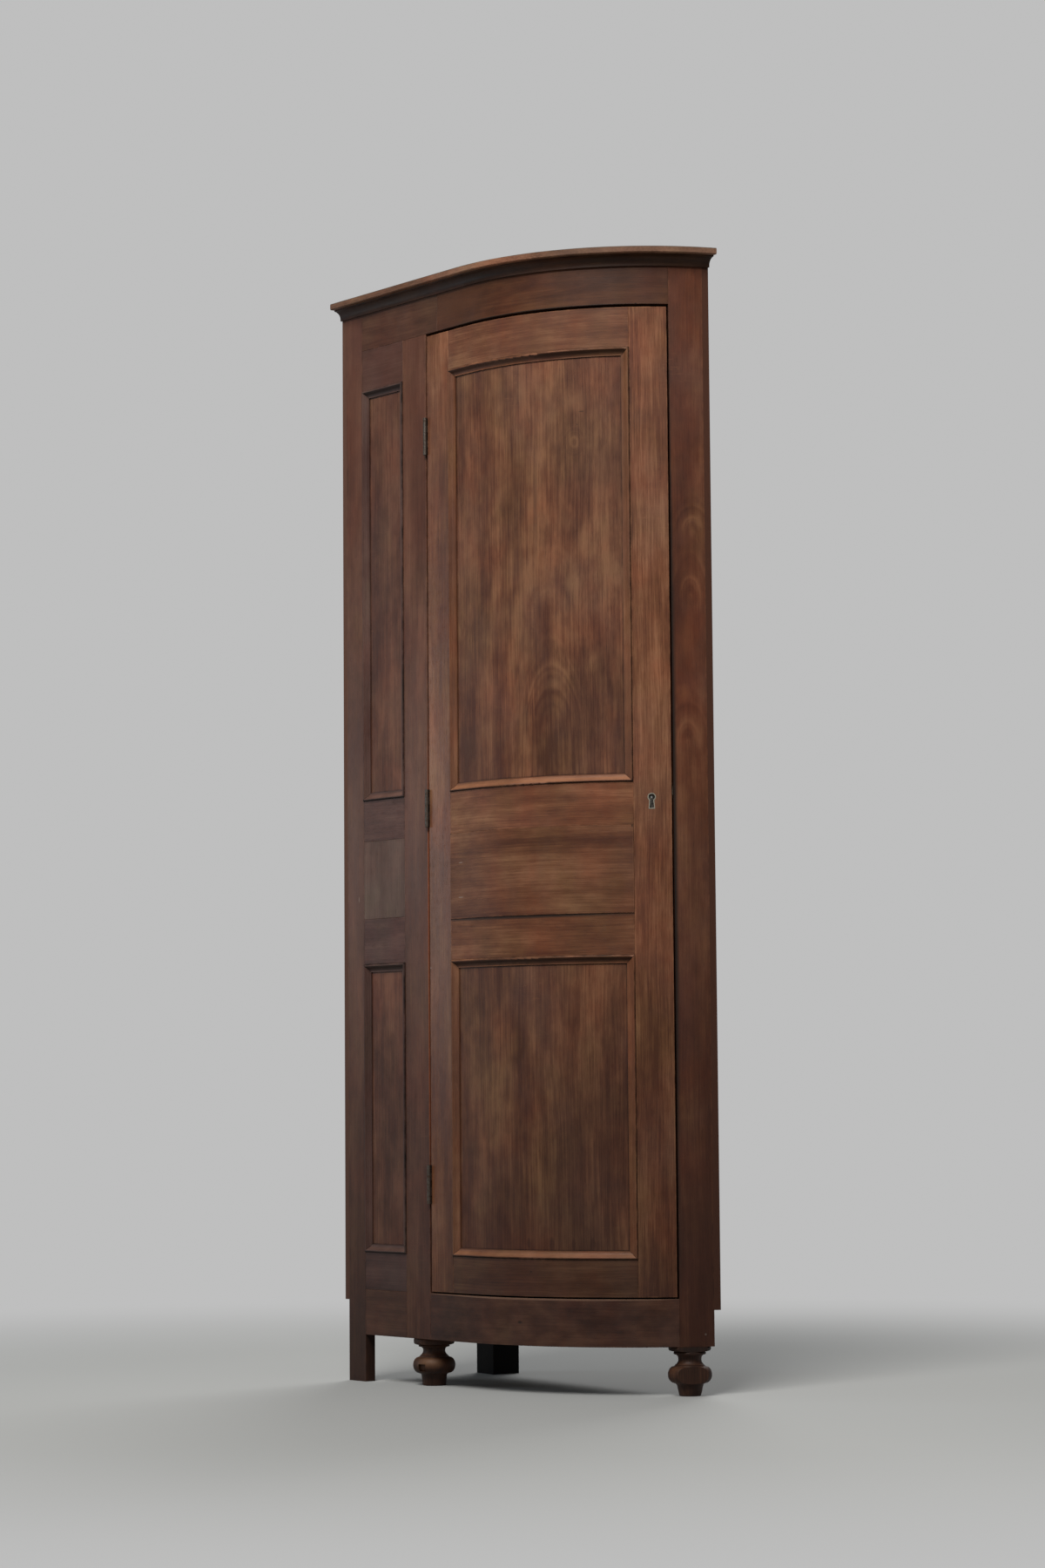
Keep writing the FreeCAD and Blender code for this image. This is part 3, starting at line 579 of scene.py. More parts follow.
@dataclass(frozen=True)
class Boarding:
    """How a wall is boarded: where its first board starts, how wide each is and where nails hold it.

    The nail inset is a share of a board's width, and the grime is how dark joints and nail holes are.
    """

    start: float
    width: float
    count: int
    nail_heights: tuple[float, ...] = (0.190, 0.560, 0.905, 1.250, 1.590, 2.060)
    nail_inset: float = 0.2
    nail_radius: float = 0.0022
    nail_rim: Reach = (0.8, 1.2)
    joint: Reach = (0.0005, 0.0016)
    grime: float = 0.85

    def dirt(self, graph: Graph, place: Value, height: Value) -> Value:
        """Dirt in the joints between boards and round their nails.

        Args:
            graph: the material's nodes.
            place: the place along the wall, in widths of a board.
            height: the height above the floor.

        Returns:
            The grime's share in a joint or a nail hole, zero on clean wood.
        """
        to_joint = (0.5 - abs(graph.math("FRACT", place) - 0.5)) * self.width
        between = (place > 0.5) * (place < self.count - 0.5)
        dirt = (1.0 - to_joint.ramp(*self.joint)) * between
        to_column = (to_joint - self.nail_inset * self.width) / self.nail_radius
        for nail_height in self.nail_heights:
            to_row = (height - nail_height) / self.nail_radius
            nail = 1.0 - graph.distance(to_column, to_row).ramp(*self.nail_rim)
            dirt = graph.math("MAXIMUM", dirt, nail)
        return dirt * self.grime


@dataclass(frozen=True)
class GrainPlace:
    """Where a shaded point lies in its board: by the grain, on the board's face and above the floor."""

    across: Value
    through: Value
    lengthwise: Value
    first: Value
    second: Value
    up: Value


@dataclass(frozen=True)
class Wood:
    """How one board was cut, how it has aged, how it is finished and where light and shade are painted on
    it.

    Attributes:
        name: name of its material.
        grain: which way its grain runs.
        tone: its colours.
        seed: where its pattern is cut from.
        span: where its outer face lies, for a board of the front.
        figures: arches and knots in it.
        streak: contrast of its fine lines; ribbon, mottle and drift are that of ever broader changes.
        bloom: colour of the hazed polish, and bloom_share how much of it there is.
        rub: how far its edges are rubbed bare.
        grime: how much dirt lies along its edges, and grime_width how far it reaches.
        low_shade: how much painted shade darkens it low down, and foot_dirt how much more painted shade
            near the floor.
        gloss: its roughness.
        worn_top: how much lighter its upward faces are: painted light in a lighter tone of the wood, and
            dust instead where worn_colour is given; under_dirt: how much painted shade darkens its
            undersides.
        boarding: how a wall of boards is laid.
        marks: marks on it.
    """

    name: str
    grain: Grain
    tone: Tone
    seed: float
    span: Optional[Span] = None
    figures: tuple[Figure, ...] = ()
    streak: float = 0.5
    ribbon: float = 0.45
    mottle: float = 0.3
    drift: float = 0.5
    bloom: Colour = (0.10, 0.066, 0.062)
    bloom_share: float = 0.25
    rub: float = 0.35
    grime: float = 0.2
    grime_width: float = 0.006
    # painted shade: darker towards the bottom, and more so near the floor
    low_shade: float = 0.32
    foot_dirt: float = 0.35
    gloss: float = 0.55
    # painted light on upward faces, dust instead where worn_colour is given, and painted shade on
    # undersides
    worn_top: float = 0.0
    worn_colour: Optional[Colour] = None
    under_dirt: float = 0.0
    boarding: Optional[Boarding] = None
    marks: tuple[Mark, ...] = ()

    def place(self, graph: Graph) -> GrainPlace:
        """Coordinates of the shaded point, for the way the board's grain runs.

        Args:
            graph: the material's nodes.

        Returns:
            The coordinates.
        """
        if self.grain in (Grain.UP_FRONT, Grain.ALONG_FRONT, Grain.ROUND_PANEL):
            run, depth, height = plan.shader_place(graph)
            if self.grain is Grain.UP_FRONT:
                return GrainPlace(run, depth, height, run, height, height)
            if self.grain is Grain.ALONG_FRONT:
                return GrainPlace(height, depth, run, run, height, height)
            side, level = self.span.margins(graph, run, height)
            upright = (level - side) > 0.0
            return GrainPlace(graph.choose(upright, run, height), depth, graph.choose(upright, height, run),
                              run, height, height)
        x, y, z = graph.object_place()
        if self.grain is Grain.UPRIGHT:
            return GrainPlace(x, y, z, x - y, z, z)
        orders = {Grain.UP_LEFT_WALL: (y, x, z, y, z, z), Grain.UP_BACK_WALL: (x, y, z, x, z, z),
                  Grain.ALONG_X: (y, z, x, x, y, z), Grain.ALONG_Y: (x, z, y, y, x, z)}
        return GrainPlace(*orders[self.grain])

    def material(self) -> bpy.types.Material:
        """Builds the wood's material."""
        return WoodPaint(self).finished()


@dataclass(frozen=True)
class Ageing:
    """Sizes and strengths of growth, wear and painted light and shade that all the woods share. Lengths are
    in metres.

    A reach is where an effect sets in and where it is full, or has gone, by a noise, a height or a
    distance; top_facing and under_facing go by how far a surface looks up.
    """

    sway: float = 0.02
    board_step: float = 1.37
    board_rate: float = 5.3
    board_contrast: float = 0.9
    dark_stop: float = 0.08
    light_stop: float = 0.92
    red_stop: float = 0.36
    brown_stop: float = 0.64
    haze: Reach = (0.45, 0.75)
    pores: Reach = (0.58, 0.7)
    pore_shade: float = 0.22
    pore_relief: float = 0.45
    streak_relief: float = 0.35
    streak_roughness: float = 0.15
    stain_roughness: float = 0.25
    # heights over which the painted shade, low down and near the floor, fades out upwards
    low_shade: Reach = (0.15, 1.05)
    foot_shade_reach: Reach = (0.0, 0.14)
    face_depth: float = 0.0015
    face_fade: float = 0.004
    rubbed: Reach = (0.42, 0.62)
    rub_width: float = 0.003
    rubbed_light: float = 1.5
    clean_edge: Reach = (0.3, 0.7)
    edge_dirt: float = 1.2
    mitre: Reach = (0.0002, 0.0011)
    mitre_shade: float = 0.6
    # painted light on upward faces and painted shade on undersides, by how far a surface looks up
    top_facing: Reach = (-0.1, 0.7)
    worn: Reach = (0.35, 0.55)
    top_highlight: float = 1.6
    under_facing: Reach = (-0.1, -0.6)
    scratched: Reach = (0.55, 0.62)
    scratch_half_width: float = 0.006
    scratch_share: float = 0.3
    scratch_light: float = 1.3
    scratch_relief: float = 0.6
    ragged_ribbons: float = 1.6


class WoodPaint:
    """One wood's material, laid on layer by layer.

    Colour, darkness, height and roughness are what the layers have made of it so far.
    """

    def __init__(self, wood: Wood, age: Ageing = Ageing()) -> None:
        """Finds the shaded point in its board and draws the noises that several layers share.

        Args:
            wood: how the board was cut and finished.
            age: how such wood ages.
        """
        self.wood = wood
        self.age = age
        self.graph = Graph.material(wood.name)
        self.spot = wood.place(self.graph)
        sway = self.over(SWAY, self.spot.across, self.spot.lengthwise)
        self.wavy = self.spot.across + (sway - 0.5) * age.sway
        self.joint_dirt: Number = 0.0
        self.board_shift: Number = 0.0
        if wood.boarding is not None:
            self.part_boards(wood.boarding)
        self.streaks = self.by_grain(STREAKS)
        self.ribbons = self.by_grain(RIBBONS)
        self.pores = self.by_grain(PORES).ramp(*age.pores)
        self.stain = self.on_face(STAINS)
        self.face: Number = 1.0
        self.colour = self.raw_colour()
        self.darkness = 1.0 - self.pores * age.pore_shade
        self.height = self.streaks * age.streak_relief - self.pores * age.pore_relief - self.joint_dirt
        self.roughness = (wood.gloss + (self.streaks - 0.5) * age.streak_roughness
                          + (self.stain - 0.5) * age.stain_roughness)

    def over(self, noise: FaceNoise, first: Value, second: Value) -> Value:
        """Noise over two directions of the board.

        Args:
            noise: the noise.
            first: place in its first direction.
            second: place in its second direction.

        Returns:
            The noise's value.
        """
        place = self.graph.vector(
            first * noise.first + self.wood.seed, self.spot.through * noise.first,
            second * noise.second + self.wood.seed)
        return self.graph.noise(place, noise.detail, noise.roughness)

    def on_face(self, noise: FaceNoise) -> Value:
        """Noise over the board's face."""
        return self.over(noise, self.spot.first, self.spot.second)

    def by_grain(self, noise: GrainNoise) -> Value:
        """Noise that follows the board's grain.

        Args:
            noise: the noise.

        Returns:
            The noise's value.
        """
        place = self.graph.vector(
            self.wavy * noise.across + self.wood.seed * noise.shift, self.spot.through * noise.across,
            self.spot.lengthwise * noise.along + noise.shift)
        return self.graph.noise(place, noise.detail, noise.roughness)

    def part_boards(self, boarding: Boarding) -> None:
        """Gives each board of a wall its own grain and shade, and the joints their dirt.

        Args:
            boarding: how the wall is boarded.
        """
        place = (self.spot.first - boarding.start) / boarding.width
        number = self.graph.math("FLOOR", place)
        self.wavy = self.wavy + number * self.age.board_step
        shade = self.graph.noise(number * self.age.board_rate + self.wood.seed, line=True)
        self.board_shift = (shade - 0.5) * self.age.board_contrast
        self.joint_dirt = boarding.dirt(self.graph, place, self.spot.second)

    def raw_colour(self) -> Value:
        """Colour of the grain and its figure, with changes of hue and hazed polish over it.

        Returns:
            The colour.
        """
        wood, tone, age = self.wood, self.wood.tone, self.age
        shade = self.board_shift + 0.5
        for noise, value, share in (
                (STREAKS, self.streaks, wood.streak), (RIBBONS, self.ribbons, wood.ribbon),
                (MOTTLE, self.by_grain(MOTTLE), wood.mottle), (DRIFT, self.by_grain(DRIFT), wood.drift)):
            shade = shade + (value - 0.5) * (noise.gain * share)
        for figure in wood.figures:
            shade = shade + figure.growth(self.graph, self.wavy, self.spot.lengthwise, wood.seed)
        colour = self.graph.ramp(shade.within(), [
            (age.dark_stop, tone.dark), (0.5, tone.middle), (age.light_stop, tone.light)])
        tint = self.graph.ramp(self.on_face(HUES), [
            (age.red_stop, REDDER), (0.5, WHITE), (age.brown_stop, BROWNER)])
        colour = self.graph.blend(1.0, colour, tint, "MULTIPLY")
        return self.graph.blend(self.stain.ramp(*age.haze) * wood.bloom_share, colour, wood.bloom)

    def darken(self, shade: Value) -> None:
        """Takes a share of the light away."""
        self.darkness = self.darkness * (1.0 - shade)

    def tint(self, share: Value, colour: Colour) -> None:
        """Lays a colour over a share of the wood."""
        self.colour = self.graph.blend(share, self.colour, colour)

    def lay_low_shade(self) -> None:
        """Paints shade on the wood, darker towards the bottom and more so near the floor."""
        # painted shade: darker towards the bottom, and more near the floor
        self.darken((1.0 - self.spot.up.ramp(*self.age.low_shade)) * self.wood.low_shade)
        self.darken((1.0 - self.spot.up.ramp(*self.age.foot_shade_reach)) * self.wood.foot_dirt)

    def wear_edges(self, span: Span) -> None:
        """Rubs the face's edges bare in places and leaves dirt along them and in the mitres.

        Args:
            span: where the face starts and ends.
        """
        age, wood = self.age, self.wood
        side, level = span.margins(self.graph, self.spot.first, self.spot.second)
        edge = self.graph.math("MINIMUM", side, level)
        broken = self.on_face(BREAKS)
        self.face = 1.0 - self.spot.through.ramp(span.depth + age.face_depth, span.depth + age.face_fade)
        rubbed = (1.0 - edge.ramp(0.0, age.rub_width)) * broken.ramp(*age.rubbed) * self.face * wood.rub
        self.tint(rubbed, times(wood.tone.light, age.rubbed_light))
        dirt = age.edge_dirt - broken.ramp(*age.clean_edge)
        self.darken((1.0 - edge.ramp(0.0, wood.grime_width)) * dirt * wood.grime)
        if wood.grain is Grain.ROUND_PANEL:
            joint = 1.0 - abs(level - side).ramp(*age.mitre)
            self.darken(joint * age.mitre_shade)

    def lighten_tops_shade_undersides(self) -> None:
        """Lightens the upward faces with painted light, with dust instead where the wood gives a
        worn_colour, and paints shade on the undersides.
        """
        wood, age = self.wood, self.age
        lift = self.graph.normal()[2]
        # painted light on upward faces, dust instead where a worn_colour is given
        worn = lift.ramp(*age.top_facing) * self.stain.ramp(*age.worn) * wood.worn_top
        self.tint(worn, wood.worn_colour or times(wood.tone.light, age.top_highlight))
        # painted shade on the undersides
        self.darken(lift.ramp(*age.under_facing) * wood.under_dirt)

    def scratch(self) -> None:
        """Draws fine pale scratches where the polish is stained."""
        age = self.age
        line = 1.0 - abs(self.on_face(SCRATCHES) - 0.5).ramp(0.0, age.scratch_half_width)
        scratches = line * self.stain.ramp(*age.scratched) * age.scratch_share
        self.tint(scratches, times(self.wood.tone.light, age.scratch_light))
        self.height = self.height - scratches * age.scratch_relief

    def lay_mark(self, mark: Mark) -> None:
        """Lays one mark on the face.

        Args:
            mark: the mark.
        """
        away = self.graph.distance((self.spot.first - mark.run) / mark.half_run,
                                   (self.spot.second - mark.height) / mark.half_height)
        torn = ((self.ribbons - 0.5) * (self.age.ragged_ribbons * mark.ragged)
                + (self.streaks - 0.5) * mark.ragged)
        patch = (1.0 - (away + torn).ramp(1.0 - mark.softness, 1.0)) * self.face
        self.tint(patch * mark.strength, mark.colour)
        self.height = self.height - patch * mark.sunk

    def finished(self) -> bpy.types.Material:
        """Lays every layer that the wood asks for.

        Returns:
            The material.
        """
        wood = self.wood
        self.lay_low_shade()
        if wood.boarding is not None:
            self.darken(self.joint_dirt)
        if wood.span is not None:
            self.wear_edges(wood.span)
        if wood.worn_top + wood.under_dirt > 0.0:
            self.lighten_tops_shade_undersides()
        self.scratch()
        for mark in wood.marks:
            self.lay_mark(mark)
        colour = self.graph.scaled(self.colour, self.darkness)
        return self.graph.closed(self.graph.shader(colour, self.roughness.within(), self.height))


# Metals

@dataclass(frozen=True)
class OldMetal:
    """A metal that has dulled, with stains and fine scratches. Rates are in clouds a metre.

    Blotches set in at the start of their reach, the sooner the more the metal is stained.
    """

    name: str
    clean: Colour
    stained: Colour
    stain_share: float = 0.5
    roughness: float = 0.45
    metallic: float = 1.0
    blotch_rate: float = 190.0
    speck_rate: float = 900.0
    line_rate: float = 300.0
    line_height_rate: float = 2600.0
    blotches: Reach = (0.62, 0.72)
    blotch_spread: float = 0.3
    specks: Reach = (0.6, 0.7)
    speck_share: float = 0.4
    stain_roughness: float = 0.3
    line_roughness: float = 0.2
    relief: float = 0.0002
    bump: float = 0.6

    def material(self) -> bpy.types.Material:
        """Builds the metal's material.

        Returns:
            The material.
        """
        graph = Graph.material(self.name)
        x, y, z = graph.object_place()

        def cloud(rate: float, height_rate: float, detail: float = 2.0, roughness: float = 0.5) -> Value:
            """Noise of so many clouds a metre in plan and upwards."""
            return graph.noise(graph.vector(x * rate, y * rate, z * height_rate), detail, roughness)

        blotches = cloud(self.blotch_rate, self.blotch_rate, 4.0, 0.65)
        specks = cloud(self.speck_rate, self.speck_rate)
        lines = cloud(self.line_rate, self.line_height_rate)
        start, end = self.blotches
        patches = blotches.ramp(start - self.blotch_spread * self.stain_share, end)
        stained = (patches + specks.ramp(*self.specks) * self.speck_share).within()
        colour = graph.blend(stained, self.clean, self.stained)
        roughness = self.roughness + stained * self.stain_roughness + (lines - 0.5) * self.line_roughness
        height = stained * 0.5 + specks * 0.3 + lines * 0.2
        return graph.closed(graph.shader(
            colour, roughness.within(), height, self.metallic, self.relief, self.bump))


# The woods and metals of this cupboard

DOOR = Tone((0.076, 0.024, 0.011), (0.137, 0.050, 0.022), (0.226, 0.098, 0.048))
DOOR_PANEL = Tone((0.056, 0.018, 0.009), (0.105, 0.040, 0.019), (0.176, 0.077, 0.037))
CARCASS = Tone((0.044, 0.015, 0.008), (0.082, 0.031, 0.017), (0.132, 0.056, 0.031))
RETURN = Tone((0.042, 0.018, 0.013), (0.072, 0.033, 0.025), (0.108, 0.056, 0.042))
RETURN_BOARD = Tone((0.059, 0.030, 0.021), (0.085, 0.047, 0.034), (0.119, 0.070, 0.051))
POST = Tone((0.054, 0.016, 0.008), (0.093, 0.030, 0.014), (0.158, 0.061, 0.029))
FRIEZE = Tone((0.028, 0.008, 0.003), (0.050, 0.016, 0.006), (0.086, 0.031, 0.012))
# the cove's tone, darkened with painted shade from the top board's overhang
CORNICE = Tone((0.016, 0.005, 0.002), (0.031, 0.011, 0.004), (0.060, 0.024, 0.010))
CORNICE_EDGE = Tone((0.085, 0.035, 0.016), (0.145, 0.064, 0.033), (0.220, 0.108, 0.060))
FOOT = Tone((0.026, 0.010, 0.006), (0.058, 0.022, 0.012), (0.120, 0.052, 0.027))
INNER = Tone((0.110, 0.060, 0.034), (0.190, 0.112, 0.065), (0.270, 0.175, 0.108))
ROUGH = Tone((0.052, 0.030, 0.019), (0.092, 0.055, 0.035), (0.140, 0.088, 0.058))
# near-black: painted shade on the back corner post, which stands in shadow; six times lighter it is the
# foot blocks' tone
SHADED_BACK_LEG = Tone((0.003, 0.002, 0.0015), (0.006, 0.004, 0.003), (0.014, 0.009, 0.006))

DARK_IRON = OldMetal("dark_iron", (0.10, 0.085, 0.072), (0.060, 0.032, 0.020), 0.6, 0.5)
DULL_STEEL = OldMetal("dull_steel", (0.30, 0.28, 0.25), (0.09, 0.065, 0.045), 0.45, 0.42)
OLD_BRASS = OldMetal("old_brass", (0.66, 0.61, 0.49), (0.24, 0.19, 0.13), 0.35, 0.32)
SCREW_STEEL = OldMetal("screw_steel_worn", (0.46, 0.43, 0.38), (0.14, 0.10, 0.07), 0.35, 0.36)
PIN_STEEL = OldMetal("pin_steel", (0.80, 0.79, 0.76), (0.35, 0.30, 0.24), 0.2, 0.25)

REDDER: Colour = (1.06, 0.92, 0.89)
BROWNER: Colour = (0.96, 1.05, 0.98)
# near-black of deep nicks and nail holes, and of painted shadow in gaps and under proud edges
NICK_AND_SHADOW: Colour = (0.012, 0.008, 0.006)
RUBBED: Colour = (0.30, 0.24, 0.20)
PALE: Colour = (0.215, 0.106, 0.052)
GLOW: Colour = (0.170, 0.060, 0.025)
DEEP: Colour = (0.045, 0.018, 0.011)
# painted shade: darker and redder towards the bottom
LOW_SHADE_RED: Colour = (0.044, 0.013, 0.007)
DARK_RED: Colour = (0.078, 0.022, 0.009)
FRIEZE_LIGHT: Colour = (0.075, 0.028, 0.011)
RAW_EDGE: Colour = (0.30, 0.085, 0.035)
WORN_LINE: Colour = (0.210, 0.115, 0.075)
WORN_EDGE: Colour = (0.090, 0.040, 0.025)
POLISHED_EDGE: Colour = (0.060, 0.022, 0.012)
# painted cool sheen: reflection of the light from the left, on the left-hand uprights at mid-height
COOL_SHEEN: Colour = (0.150, 0.095, 0.082)
ATTIC_DUST: Colour = (0.085, 0.062, 0.048)


def dress(node: str, finish: Union[Wood, OldMetal]) -> None:
    """Gives a CAD node its finish.

    Args:
        node: name of the node.
        finish: its wood or metal.
    """
    material = finish.material()
    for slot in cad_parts[node].material_slots:
        slot.material = material
    log.info("%s dressed with %s", node, finish.name)


def dress_front(node: str, grain: Grain, tone: Tone, seed: float, inset: float = 0.0, **more: Any) -> None:
    """Gives a node of the front its wood, with the span of its outer face.

    Args:
        node: name of the node.
        grain: which way its grain runs.
        tone: its colours.
        seed: where its pattern is cut from.
        inset: how much of its face other pieces cover all round.
        more: other settings of its wood.
    """
    dress(node, Wood(node + "_wood", grain, tone, seed, Span.of(node, inset), **more))


# Workshop helpers

def deselect(*chosen: bpy.types.Object) -> None:
    """Deselects everything, then selects the objects given and makes the first one active.

    Args:
        chosen: the objects to select.
    """
    if bpy.context.object and bpy.context.object.mode != "OBJECT":
        bpy.ops.object.mode_set(mode="OBJECT")
    bpy.ops.object.select_all(action="DESELECT")
    for each in chosen:
        each.select_set(True)
    if chosen:
        bpy.context.view_layer.objects.active = chosen[0]


def select_faces(piece: bpy.types.Object, wanted: Callable[[bpy.types.MeshPolygon], bool]) -> None:
    """Selects the faces of a piece that are wanted, and no others, and opens it in edit mode.

    Args:
        piece: the piece.
        wanted: whether a face is to be selected.
    """
    deselect(piece)
    bpy.ops.object.mode_set(mode="EDIT")
    bpy.ops.mesh.select_mode(type="FACE")
    bpy.ops.mesh.select_all(action="DESELECT")
    bpy.ops.object.mode_set(mode="OBJECT")
    for face in piece.data.polygons:
        face.select = wanted(face)
    bpy.ops.object.mode_set(mode="EDIT")


def turned(rings: list[Ring], sides: int, centre: Vector = Vector()) -> bpy.types.Object:
    """Turns a closed round piece ring by ring, and leaves it in edit mode with all of it selected.

    Args:
        rings: radius and height of each ring, in order.
        sides: how many sides stand for its round.
        centre: where its axis meets the floor.

    Returns:
        The piece.
    """
    deselect()
    bpy.ops.mesh.primitive_circle_add(vertices=sides, radius=rings[0][0], fill_type="NGON", location=centre)
    piece = bpy.context.object
    bpy.ops.object.transform_apply(location=True, rotation=True, scale=True)
    bpy.ops.object.mode_set(mode="EDIT")
    bpy.ops.mesh.select_all(action="SELECT")
    bpy.ops.mesh.flip_normals()
    for (radius, height), (wider, higher) in zip(rings, rings[1:]):
        bpy.ops.mesh.extrude_region_move(TRANSFORM_OT_translate={"value": (0.0, 0.0, higher - height)})
        share = wider / radius
        bpy.ops.transform.resize(value=(share, share, 1.0), center_override=(*centre.xy, higher))
    bpy.ops.mesh.select_all(action="SELECT")
    bpy.ops.mesh.normals_make_consistent(inside=False)
    return piece


def swell(low: Ring, wide: Ring, high: Ring, steps: int) -> list[Ring]:
    """Rings of a round moulding through three rings, leaving out its first.

    Args:
        low: its lowest ring.
        wide: its widest ring.
        high: its highest ring.
        steps: how many rings.

    Returns:
        The rings.
    """
    rings = []
    for step in range(1, steps + 1):
        share = step / steps
        ends = low if share < 0.5 else high
        bend = math.sqrt(max(0.0, 1.0 - (2.0 * share - 1.0) ** 2))
        rings.append((ends[0] + (wide[0] - ends[0]) * bend, low[1] + (high[1] - low[1]) * share))
    return rings


# Sub-assemblies

@dataclass
class FrontFrame:
    """Posts, friezes and base rails of the carcass."""

    hinge_gap: float = 0.2641
    lock_gap: float = 0.8100
    door_middle: float = 0.537
    door_half_width: float = 0.300
    door_head: float = 1.9970
    door_sill: float = 0.1752

    def dress_posts(self) -> None:
        """Gives the three uprights their woods."""
        dress_front(
            "left_leg_post", Grain.UP_FRONT, CARCASS.times(1.06), 2.3, streak=0.35, low_shade=0.6,
            foot_dirt=0.2, marks=(
                # painted cool sheen at mid-height
                Haze(0.032, 0.980, 0.080, 0.480, COOL_SHEEN, 0.34, ragged=0.4),
                Haze(0.032, 1.900, 0.080, 0.500, DARK_RED, 0.4, ragged=0.4),
                Mark(0.008, 1.099, 0.0015, 0.013, RUBBED, 0.7),
                Mark(0.0476, 0.922, 0.001, 0.007, RUBBED, 0.5)))
        dress_front(
            "hinge_post", Grain.UP_FRONT, CARCASS.times(1.06), 4.1, streak=0.4, low_shade=0.38,
            marks=(
                # painted cool sheen at mid-height
                Haze(0.225, 1.000, 0.090, 0.420, COOL_SHEEN, 0.3, ragged=0.4),
                Haze(0.228, 1.880, 0.090, 0.500, DARK_RED, 0.45, ragged=0.4),
                Mark(self.hinge_gap, 0.80, 0.0016, 0.50, RAW_EDGE, 0.8)))
        dress_front(
            "right_post", Grain.UP_FRONT, POST, 6.7, streak=0.25, ribbon=0.3, low_shade=0.45,
            figures=(
                Figure(0.852, 1.570, 0.55, 0.010, 11.0, 55.0, 0.38, 0.040),
                Figure(0.846, 1.440, 0.35, 0.010, 11.0, 55.0, 0.38, 0.036),
                Figure(0.838, 1.180, 0.45, 0.010, 11.0, 50.0, 0.38, 0.040)),
            marks=(
                Mark(0.8577, 0.111, 0.0022, 0.0022, RUBBED, 0.9),
                # painted shadow in the gap beside the door and on the post's edge next to it
                Mark(self.lock_gap, 1.085, 0.0022, 1.10, NICK_AND_SHADOW, 0.9, 0.4, 0.2),
                Mark(self.lock_gap, 1.000, 0.0080, 0.85, NICK_AND_SHADOW, 0.85, 0.6, 0.1),
                Haze(0.835, 1.373, 0.016, 0.050, GLOW, 0.45),
                Haze(0.832, 1.275, 0.020, 0.022, GLOW, 0.5),
                Haze(0.860, 0.700, 0.040, 0.300, DEEP, 0.35),
                # painted shade low down on the post
                Haze(0.848, 0.230, 0.080, 0.450, LOW_SHADE_RED, 0.6, ragged=0.6)))

    def dress_rails(self) -> None:
        """Gives both lengths of the frieze and of the base rail their woods."""
        dress_front("frieze_side", Grain.ALONG_FRONT, CARCASS.times(0.70), 8.2, streak=0.3)
        dress_front(
            "frieze_bowed", Grain.ALONG_FRONT, FRIEZE, 9.9, streak=0.3, ribbon=0.4,
            figures=(Figure(2.05, 0.40, 0.12, 0.01, 3.0, 70.0, 0.25, 0.05),),
            marks=(
                Mark(0.750, 1.998, 0.0025, 0.0015, NICK_AND_SHADOW, sunk=1.0),
                Haze(0.330, 2.050, 0.110, 0.060, FRIEZE_LIGHT, 0.5, ragged=0.5),
                # painted shadow in the gap above the door
                Mark(self.door_middle, self.door_head, self.door_half_width, 0.0022, NICK_AND_SHADOW, 0.9, 0.4, 0.2)))
        dress_front("base_rail_side", Grain.ALONG_FRONT, CARCASS.times(0.8), 11.2, streak=0.3)
        dress_front(
            "base_rail_bowed", Grain.ALONG_FRONT, CARCASS.times(0.74), 13.4, streak=0.3, mottle=0.7,
            rub=0.6, marks=(
                Mark(0.507, 0.131, 0.006, 0.003, NICK_AND_SHADOW, 0.7, sunk=1.0),
                Mark(self.door_middle, self.door_sill, self.door_half_width, 0.0040, WORN_LINE, 0.9, 0.3,
                     0.4)))

    def dress(self) -> None:
        """Gives every member its own board of mahogany."""
        self.dress_posts()
        self.dress_rails()


@dataclass
class PanelledBay:
    """Rails, middle board, panels and mouldings between two uprights.

    The shares make a piece lighter or darker than its tone; figures and marks go by piece too.
    """

    name: str
    rail_tone: Tone
    panel_tone: Tone
    seed: float
    mid_board_grain: Grain
    mid_board_tone: Tone
    shares: dict[str, float] = field(default_factory=dict)
    figures: dict[str, tuple[Figure, ...]] = field(default_factory=dict)
    marks: dict[str, tuple[Mark, ...]] = field(default_factory=dict)
    bloom_share: float = 0.25
    panel_inset: float = 0.021

    def board(self, part: str, grain: Grain, tone: Tone, seed: float, inset: float = 0.0,
              **more: Any) -> None:
        """Dresses one piece of the bay.

        Args:
            part: the piece's name within the bay.
            grain: which way its grain runs.
            tone: its colours, before its own share of light or dark.
            seed: where its pattern is cut from.
            inset: how much of its face the mouldings cover.
            more: other settings of its wood.
        """
        dress_front(
            f"{self.name}_{part}", grain, tone.times(self.shares.get(part, 1.0)), self.seed + seed, inset,
            figures=self.figures.get(part, ()), marks=self.marks.get(part, ()), **more)

    def dress(self) -> None:
        """Gives every piece of the bay its own wood."""
        for number, rail in enumerate(("bottom_rail", "lower_mid_rail", "upper_mid_rail", "top_rail")):
            self.board(rail, Grain.ALONG_FRONT, self.rail_tone, 1.7 * number,
                       streak=0.42, bloom_share=self.bloom_share)
        self.board("mid_board", self.mid_board_grain, self.mid_board_tone, 8.3,
                   streak=0.42, bloom_share=self.bloom_share)
        for number, level in enumerate(("lower", "upper")):
            self.board(f"{level}_panel", Grain.UP_FRONT, self.panel_tone, 10.1 + number, self.panel_inset,
                       ribbon=0.3, mottle=0.42, grime=0.85, grime_width=0.003, rub=0.0, low_shade=0.42)
            # mouldings: painted light on their upward faces and painted shade on their undersides
            self.board(f"{level}_moulding", Grain.ROUND_PANEL, self.rail_tone, 13.9 + number, streak=0.35,
                       rub=0.25, grime=0.75, grime_width=0.0022, worn_top=0.75, under_dirt=0.6)


